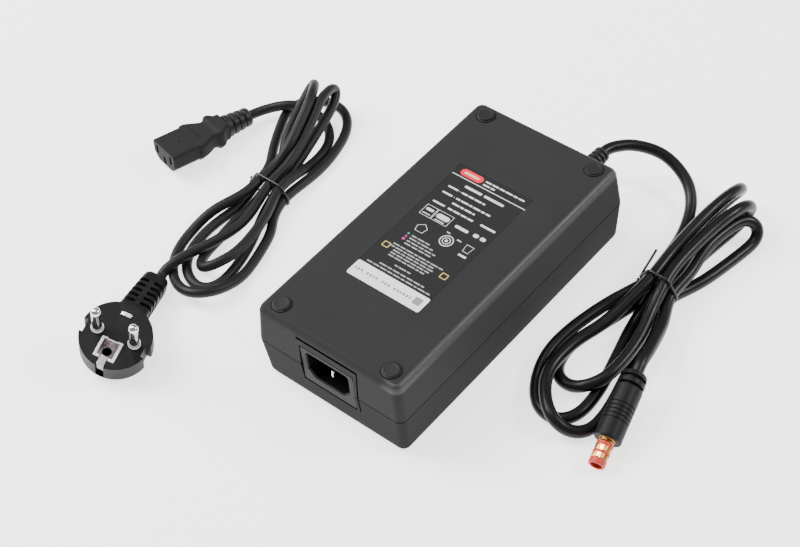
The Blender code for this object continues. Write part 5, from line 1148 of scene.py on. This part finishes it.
def make_label(finish):
    """Both films and the ink on them."""
    _, label_high, _ = label_boxes()
    for name, node, look in (("label_film_sheet", "rating_label", "film"),
                             ("strip_film_sheet", "serial_label", "strip")):
        low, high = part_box(node)
        ring = rounded_box_ring((high[0] - low[0]) / 2, (high[1] - low[1]) / 2, 1.0 * MM, 6)
        ring = ring + np.array(((high[0] + low[0]) / 2, (high[1] + low[1]) / 2))
        piece(name, prism_mesh(name, ring, low[2], high[2]), finish[look], [node], ease=0.05 * MM)
    ink = label_high[2] + 0.002 * MM
    on_ink = ink + 1.02 * LABEL_INK_HEIGHT
    for name, draw, look, height in (("label_white_marks", draw_white, "white_ink", ink),
                                     ("label_small_print", draw_small_print, "dim_ink", ink),
                                     ("label_yellow_marks", draw_yellow, "yellow_ink", ink),
                                     ("strip_marks", draw_strip, "grey_ink", ink),
                                     ("label_red_field", draw_red_field, "red_ink", ink),
                                     ("label_red_field_bar", draw_red_field_bar, "pale_red_ink", on_ink),
                                     ("label_green_dot", draw_green_dot, "green_ink", ink),
                                     ("label_magenta_dots", draw_magenta_dots, "magenta_ink", ink)):
        ink_piece(name, draw, finish[look], height)


# Charging lead

def make_strain_relief(finish):
    """Ringed rubber tail: each ring a rounded rib on a core that tapers to the cord."""
    low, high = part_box("strain_relief")
    head, root, tip = (high[0] - low[0]) / 2 / MM, low[1] / MM, high[1] / MM
    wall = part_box("base_shell")[1][1] / MM
    corners = [(0, tip, 0), (3.05, tip, 0), (3.9, tip, 0.35)]
    for ring in range(RELIEF_RINGS):
        radius = 4.15 + 0.17 * ring
        start = tip - ring * RELIEF_PITCH
        corners += [(radius, start - 0.15, 0.3), (radius, start - 1.7, 0.3),
                    (radius - 0.85, start - 1.75, 0.15), (radius - 0.85, start - RELIEF_PITCH, 0.15)]
    corners += [(5.8, wall + 2.1, 0.5), (5.8, wall + 0.25, 0.2), (4.6, wall + 0.2, 0), (4.6, wall - 3, 0),
                (head, wall - 3, 0), (head, root, 0.8), (0, root, 0)]
    pose = Matrix.Translation((middle(low, high).x, 0, PARTING_HEIGHT)) @ ALONG_Y
    return piece("relief_tail", turned("relief_tail", in_mm(corners), 64, 3), finish["relief"],
                 ["strain_relief"], pose)


def tie_route(strands, radius, place_y, first_angle, tail):
    """Loop: at angle a the outermost strand's centre + radius (cos a, sin a); then a free tail."""
    centres = np.array(strands) * MM
    angles = first_angle + np.linspace(0, 2 * math.pi, 73)
    out = np.column_stack((np.cos(angles), np.sin(angles)))
    weight = np.exp((centres @ out.T - (centres @ out.T).max(axis=0)) / (0.35 * MM))
    support = (weight / weight.sum(axis=0)).T @ centres
    spot = support + out * radius
    drift = place_y + (np.linspace(0, 1, 73) - 0.5) * 2.6 * TIE_RADIUS
    loop = np.column_stack((spot[:, 0], drift, spot[:, 1]))
    end = smooth_route(np.concatenate((loop[-3:] / MM, np.array(tail))), 5)
    return np.concatenate((loop[:-3], end))


def make_dc_plug(finish):
    """Turned grip with two ribs, fine grip lines, a gold collar, and a red tip with two banded rings."""
    direction = (DC_PLUG_FRONT - DC_PLUG_REAR).normalized()
    length = (DC_PLUG_FRONT - DC_PLUG_REAR).length / MM
    pose = along_matrix(DC_PLUG_REAR, direction)
    radius, tip = DC_PLUG_RADIUS, DC_PLUG_TIP_RADIUS
    corners = [(0, 0, 0), (4.3, 0, 0.5), (5.5, 0.9, 0.6), (6.0, 3.0, 0.3), (4.4, 3.15, 0.15), (4.4, 4.35, 0.15),
               (6.1, 4.5, 0.35), (6.2, 6.9, 0.35), (4.5, 7.05, 0.15), (4.5, 8.1, 0.15), (6.3, 8.25, 0.4)]
    for line in range(DC_PLUG_GRIP_LINES):
        start = 17.5 + 2.0 * line
        corners += [(radius - 0.08, start, 0.08), (radius - 0.55, start + 0.12, 0.05),
                    (radius - 0.55, start + 0.34, 0.05), (radius - 0.08, start + 0.46, 0.08)]
    corners += [(radius, length, 0.55), (4.2, length, 0.1), (4.2, length - 1.5, 0), (0, length - 1.5, 0)]
    grip = link("charging_plug_grip", turned("charging_plug_grip", in_mm(corners)))
    level = pose.to_3x3().inverted() @ direction.cross(Vector((0, 0, 1))).normalized()
    bridge = pose_matrix((0, 0, 0), level, Vector((0, 0, 1)).cross(level))
    carve(grip, [block(f"groove_bridge_{side}", (side * 5.1 - 0.85, -0.7, 2.6), (side * 5.1 + 0.85, 0.7, 8.6))
                 for side in (-1, 1)], "UNION", bridge)
    settle(grip, finish["grip"], ["dc_plug_grip"], pose, 0.08 * MM)
    foot, shoulder = length - 1.3, length + 1.7
    corners = [(0, foot, 0), (tip, foot, 0), (tip, shoulder - 1.7, 0.1), (tip - 0.35, shoulder - 1.5, 0.08),
               (tip - 0.35, shoulder - 0.6, 0.08), (tip - 0.8, shoulder, 0.15), (0, shoulder, 0)]
    # the collar takes the darker copy of the gold: painted shade
    collar = turned("charging_plug_collar", in_mm(corners))
    collar = piece("charging_plug_collar", collar, finish["collar_gold_painted_shade"], ["dc_plug_collar"], pose)
    return [grip, collar, *make_dc_plug_tip(length, pose, finish)]


def make_dc_plug_tip(length, pose, finish):
    """Hollow red tip turned with a groove for each gold band, its bore lined in dark red as painted shade, and
    the faceted bands.
    """
    tip, inner = DC_PLUG_TIP_RADIUS, DC_PLUG_TIP_RADIUS - 0.75
    start, end = length + 1.9, length + DC_PLUG_TIP_LENGTH
    corners = [(0, start, 0), (tip, start, 0.15)]
    for offset in DC_BAND_PLACES:
        low, high = length + offset - 0.05, length + offset + DC_BAND_WIDTH + 0.05
        corners += [(tip, low, 0.1), (inner, low, 0.05), (inner, high, 0.05), (tip, high, 0.1)]
    corners += [(tip, end, 0.55), (2.75, end, 0.35), (2.7, end - 8.5, 0), (0, end - 8.5, 0)]
    insulator = piece("charging_tip", turned("charging_tip", in_mm(corners)), finish["nylon"],
                      ["dc_plug_insulator"], pose)
    # dark red lining inside the bore: painted shade
    corners = [(2.68, end - 1.4, 0), (2.68, end - 8.4, 0), (0, end - 8.4, 0), (0, end - 8.3, 0),
               (2.6, end - 8.3, 0), (2.6, end - 1.4, 0), (2.68, end - 1.4, 0)]
    bore = piece("charging_tip_bore", turned("charging_tip_bore", in_mm(corners)), finish["bore"], (), pose)
    bands = []
    for number, offset in enumerate(DC_BAND_PLACES, 1):
        low, high = length + offset, length + offset + DC_BAND_WIDTH
        corners = [(inner + 0.3, low, 0), (tip, low, 0.12), (tip, high, 0.12), (inner + 0.3, high, 0)]
        name = f"charging_tip_band_{number}"
        bands.append(piece(name, ring_mesh(name, in_mm(corners), DC_BAND_FACETS), finish["gold"],
                           [f"dc_plug_band_{number}"], pose, angle=18.0))
    return [insulator, bore, *bands]


def make_charging_lead(finish):
    """Strain relief, cord, tie and plug of the charging lead."""
    route = eased_route(smooth_route(DC_CORD_ROUTE), ROUTE_REACH, DC_CORD_DIAMETER / 2)
    cord = tube("charging_cord", route, DC_CORD_DIAMETER / 2, finish["dc_jacket"], ["dc_cord"])
    loop = tie_route(DC_TIE_STRANDS, DC_CORD_DIAMETER / 2 + TIE_RADIUS, DC_TIE_PLACE, DC_TIE_START,
                     DC_TIE_TAIL)
    tie = tube("charging_tie", loop, TIE_RADIUS, finish["tie"], ["dc_tie"], 4)
    pieces = [make_strain_relief(finish), tie, *make_dc_plug(finish)]


# Mains lead

def connector_ring(width, height, chamfer, radius, along, rise=0.0):
    """Section of the connector: a rounded rectangle with its lower corners cut off."""
    half, up = width / 2, height / 2
    outline = rounded_path([(-half, up, radius), (-half, -up + chamfer, radius), (-half + chamfer, -up, radius),
                            (half - chamfer, -up, radius), (half, -up + chamfer, radius), (half, up, radius)],
                           4, closed=True)
    return np.column_stack((outline[:, 0], np.full(len(outline), along), outline[:, 1] + rise))


def make_connector(finish):
    """Lofted insert with three slots, shoulder, waist and finger flange, rolled a little to its left."""
    along = CONNECTOR_REAR - CONNECTOR_FACE
    straight = pose_matrix(CONNECTOR_FACE, along.cross(Vector((0, 0, 1))), along)
    pose = straight @ Matrix.Rotation(CONNECTOR_ROLL, 4, "Y")
    rings = [connector_ring(*section) for section in in_mm(CONNECTOR_SECTIONS)]
    body = link("mains_connector_body", mesh_of_grid("mains_connector_body", np.array(rings)))
    cutters = [block(f"slot_{name}", (x - 1.0, -2, z - 2.5), (x + 1.0, 12.9, z + 2.5))
               for name, x, z in CONNECTOR_SLOTS]
    dimple = drum("dimple", 0.55 * MM, 3.9 * MM, 6 * MM, 20)
    dimple.transform(Matrix.Translation((0.3 * MM, 9.6 * MM, 0)))
    line = block("top_line", (-7.2, 19.2, 4.3), (5.2, 19.5, 6))
    carve(body, [*cutters, dimple, line])
    settle(body, finish["connector"], ["connector_body"], pose, 0.14 * MM, 42.0)
    pieces = [body]
    for name, x, z in CONNECTOR_SLOTS:
        mesh = block(f"slot_contact_{name}", (x - 0.7, 2.0, z - 2.2), (x + 0.7, 12.7, z + 2.2))
        pieces.append(piece(f"slot_contact_{name}", mesh, finish["gold"], [f"connector_contact_{name}"], pose,
                            0.1 * MM))
    pieces.append(make_connector_relief(along.length / MM, pose, finish))
    return pieces


def make_connector_relief(length, pose, finish):
    """Ribbed tail with four ribs that shrink towards the cord."""
    start, end = 36.9, length - 0.3
    pitch = (end - start) / CONNECTOR_RIBS
    corners = [(0, start, 0), (6.1, start, 0.2)]
    for rib in range(CONNECTOR_RIBS):
        radius = 6.15 - 0.34 * rib
        high = start + (rib + 1) * pitch
        corners.append((radius, high - 1.2, 0.5))
        if rib < CONNECTOR_RIBS - 1:
            corners += [(radius - 1.3, high - 1.15, 0.15), (radius - 1.4, high, 0.15),
                        (radius - 0.34, high + 0.1, 0.5)]
    corners += [(4.3, end, 0.5), (0, end, 0)]
    return piece("connector_tail", turned("connector_tail", in_mm(corners), 56), finish["relief"],
                 ["connector_relief"], pose @ ALONG_Y)


def arm_ring(width, height, along, radius):
    """Section of the arm: a rounded rectangle across it."""
    ring = rounded_box_ring(width / 2, height / 2, radius, 6)
    return np.column_stack((ring[:, 0], np.full(len(ring), along), ring[:, 1]))


def arm_tools():
    """Ten slots that let the arm flex: two columns of five."""
    tools = []
    for side in (-1, 1):
        for index in range(5):
            start = ARM_SLOT_START + ARM_SLOT_PITCH * index
            for part, inner, floor in (("top", 1.3, 1.4), ("flank", 4.6, -3.2)):
                near, far = sorted((side * inner, side * 9.5))
                tools.append(block(f"slot_{part}_{side}_{index}", (near, start, floor),
                                   (far, start + ARM_SLOT_WIDTH, 8.0)))
    return tools


def make_wall_plug(finish):
    """Turned body with its lofted arm, then slots, notches and seats, earth contact and pins."""
    pose = pose_matrix(PLUG_CENTRE, PLUG_ACROSS, PLUG_UP)
    corners = [(0, 0, 0), (PLUG_RADIUS, 0, 0.35), (PLUG_RADIUS + 0.2, -PLUG_DEPTH, 1.6), (0, -PLUG_DEPTH, 0)]
    body = link("wall_plug_body", turned("wall_plug_body", in_mm(corners), 128))
    direction = Vector((0, math.cos(PLUG_ARM_ANGLE), -math.sin(PLUG_ARM_ANGLE)))
    arm_pose = pose_matrix(PLUG_ARM_END - direction * PLUG_ARM_LENGTH, (1, 0, 0), direction)
    arm = mesh_of_grid("wall_plug_arm", np.array([arm_ring(*section) for section in in_mm(PLUG_ARM_SECTIONS)]))
    carve(body, [arm], "UNION", arm_pose)
    carve(body, arm_tools(), "DIFFERENCE", arm_pose)
    carve(body, plug_face_tools())
    settle(body, finish["plug"], ["plug_body"], pose, 0.16 * MM, 40.0)
    pieces = [body, *make_plug_earth(pose, finish)]
    for name, side in (("left", -1), ("right", 1)):
        pieces += make_plug_pin(name, pose @ Matrix.Translation((side * PIN_OFFSET, 0, 0)), finish)
    return pieces


def plug_face_tools():
    """Side notches, seats of the earth contact's frame and clip, the strip's slot and the collars' seats."""
    tools = []
    for side in (-1, 1):
        near, far = sorted((side * 14.9, side * 20.0))
        tools.append(block(f"notch_{side}", (near, -4.8, -16), (far, 1.8, 3)))
        seat = drum(f"collar_seat_{side}", 3.3 * MM, -1.8 * MM, 3 * MM, 40)
        seat.transform(Matrix.Translation((side * PIN_OFFSET, 0, 0)))
        tools.append(seat)
    return tools + [
        block("frame_seat", (-5.5, -13.3, -1.6), (5.5, -2.3, 3)),
        block("strip_slot", (-2.1, -20, -11.5), (2.1, -14.9, 3)),
        block("strip_way", (-2.1, -17, -0.6), (2.1, -13, 3)),
        block("clip_seat", (-3.1, 9.9, -2.7), (3.1, 12.9, 3)),
        earth_bore("earth_bore", 6.0 * MM),
    ]


def earth_bore(name, depth):
    """Cutter of the socket hole that a wall's earth pin enters."""
    mesh = drum(name, EARTH_HOLE_RADIUS, -depth, depth)
    mesh.transform(Matrix.Translation((0, EARTH_HOLE_PLACE, 0)))
    return mesh


def make_plug_earth(pose, finish):
    """White frame, the contact sheet with its hole and slots, its folded spring, and the clip."""
    frame = link("earth_frame_white", block("earth_frame_white", (-5.3, -13.1, -1.3), (5.3, -2.5, 0.3)))
    carve(frame, [block("frame_channel", (-4.0, -11.8, -0.6), (4.0, -3.3, 3)),
                  block("frame_gate_front", (-2.3, -15, -0.6), (2.3, -11, 3)),
                  block("frame_gate_rear", (-2.6, -5, -0.6), (2.6, -1, 3)), earth_bore("frame_bore", 3.0 * MM)])
    settle(frame, finish["collar"], ["earth_frame"], pose, 0.12 * MM)
    sheet = link("earth_sheet", block("earth_sheet", (-3.7, -11.5, -0.3), (3.7, -3.5, 0.2)))
    slots = [block(f"sheet_slot_{side}", (side * 2.75 - 0.3, -6.4, -2), (side * 2.75 + 0.3, -4.2, 2))
             for side in (-1, 1)]
    carve(sheet, [earth_bore("sheet_bore", 3.0 * MM), *slots])
    settle(sheet, finish["sheet"], ["earth_contact"], pose, 0.08 * MM)
    spring = link("earth_spring", block("earth_spring", (-1.8, -16.3, -0.25), (1.8, -11.5, 0.15)))
    carve(spring, [block("spring_fold", (-1.75, -16.25, -6.0), (1.75, -15.8, 0.1))], "UNION")
    settle(spring, finish["spring"], (), pose, 0.08 * MM)
    clip = piece("earth_clip_plate", block("earth_clip_plate", (-2.8, 10.2, -2.4), (2.8, 12.6, 0.4)),
                 finish["nickel"], ["earth_clip"], pose, 0.35 * MM)
    return [frame, sheet, spring, clip]


def make_plug_pin(name, pose, finish):
    """Round pin with a domed tip, in a low white collar."""
    corners = [(0, -1.4, 0), (PIN_RADIUS, -1.4, 0), (PIN_RADIUS, PIN_LENGTH, 2.1), (0, PIN_LENGTH, 0)]
    pin = piece(f"wall_pin_{name}", turned(f"wall_pin_{name}", in_mm(corners), 64, 8), finish["nickel"],
                [f"plug_pin_{name}"], pose)
    ring = [(2.55, -1.5, 0), (3.1, -1.5, 0), (3.1, 0.6, 0.25), (2.55, 0.6, 0.15)]
    collar = piece(f"wall_pin_collar_{name}", ring_mesh(f"wall_pin_collar_{name}", in_mm(ring)),
                   finish["collar"], [f"plug_collar_{name}"], pose)
    return [pin, collar]


def make_mains_lead(finish):
    """Connector, cord, tie and wall plug of the mains lead."""
    route = eased_route(smooth_route(MAINS_CORD_ROUTE), ROUTE_REACH, MAINS_CORD_DIAMETER / 2)
    cord = tube("mains_lead_cord", route, MAINS_CORD_DIAMETER / 2, finish["mains_jacket"], ["mains_cord"])
    loop = tie_route(MAINS_TIE_STRANDS, MAINS_CORD_DIAMETER / 2 + TIE_RADIUS, MAINS_TIE_PLACE,
                     MAINS_TIE_START, MAINS_TIE_TAIL)
    tie = tube("mains_lead_tie", loop, TIE_RADIUS, finish["tie"], ["mains_tie"], 4)
    pieces = [tie, *make_connector(finish), *make_wall_plug(finish)]


# Pieces kept from the frame

def dress_inner_parts(frame, finish):
    """Finishes of the pieces inside the case, which the frame already shapes."""
    looks = {
        "steel": [f"case_screw_{number}" for number in range(1, 5)],
        "board": ["circuit_board"],
        "moulded": ["bridge_rectifier", "choke_base", "switching_transistor", "output_rectifier",
                    "transformer_core",
                    "output_wire_negative"],
        "tape": ["x_capacitor", "transformer_winding"],
        "sleeve": ["bulk_capacitor", "output_capacitor_1", "output_capacitor_2"],
        "enamel": ["choke_winding"],
        "aluminium": ["primary_heatsink", "secondary_heatsink"],
        "clear": ["fuse", "light_pipe"],
        "red_wire": ["indicator_led", "output_wire_positive"],
    }
    for look, names in looks.items():
        for name in names:
            node = frame["nodes"][name]
            for slot in node.material_slots:
                slot.link = "OBJECT"
                slot.material = finish[look]


def main():
    """Everything in turn."""
    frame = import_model()
    place_camera()
    make_floor()
    make_lights()
    _, base_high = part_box("base_shell")
    finish = make_materials(base_high[0], base_high[2])
    make_charging_lead(finish)
    make_mains_lead(finish)
    make_case(finish)
    make_feet(finish)
    make_inlet(finish)
    make_label(finish)
    dress_inner_parts(frame, finish)


main()
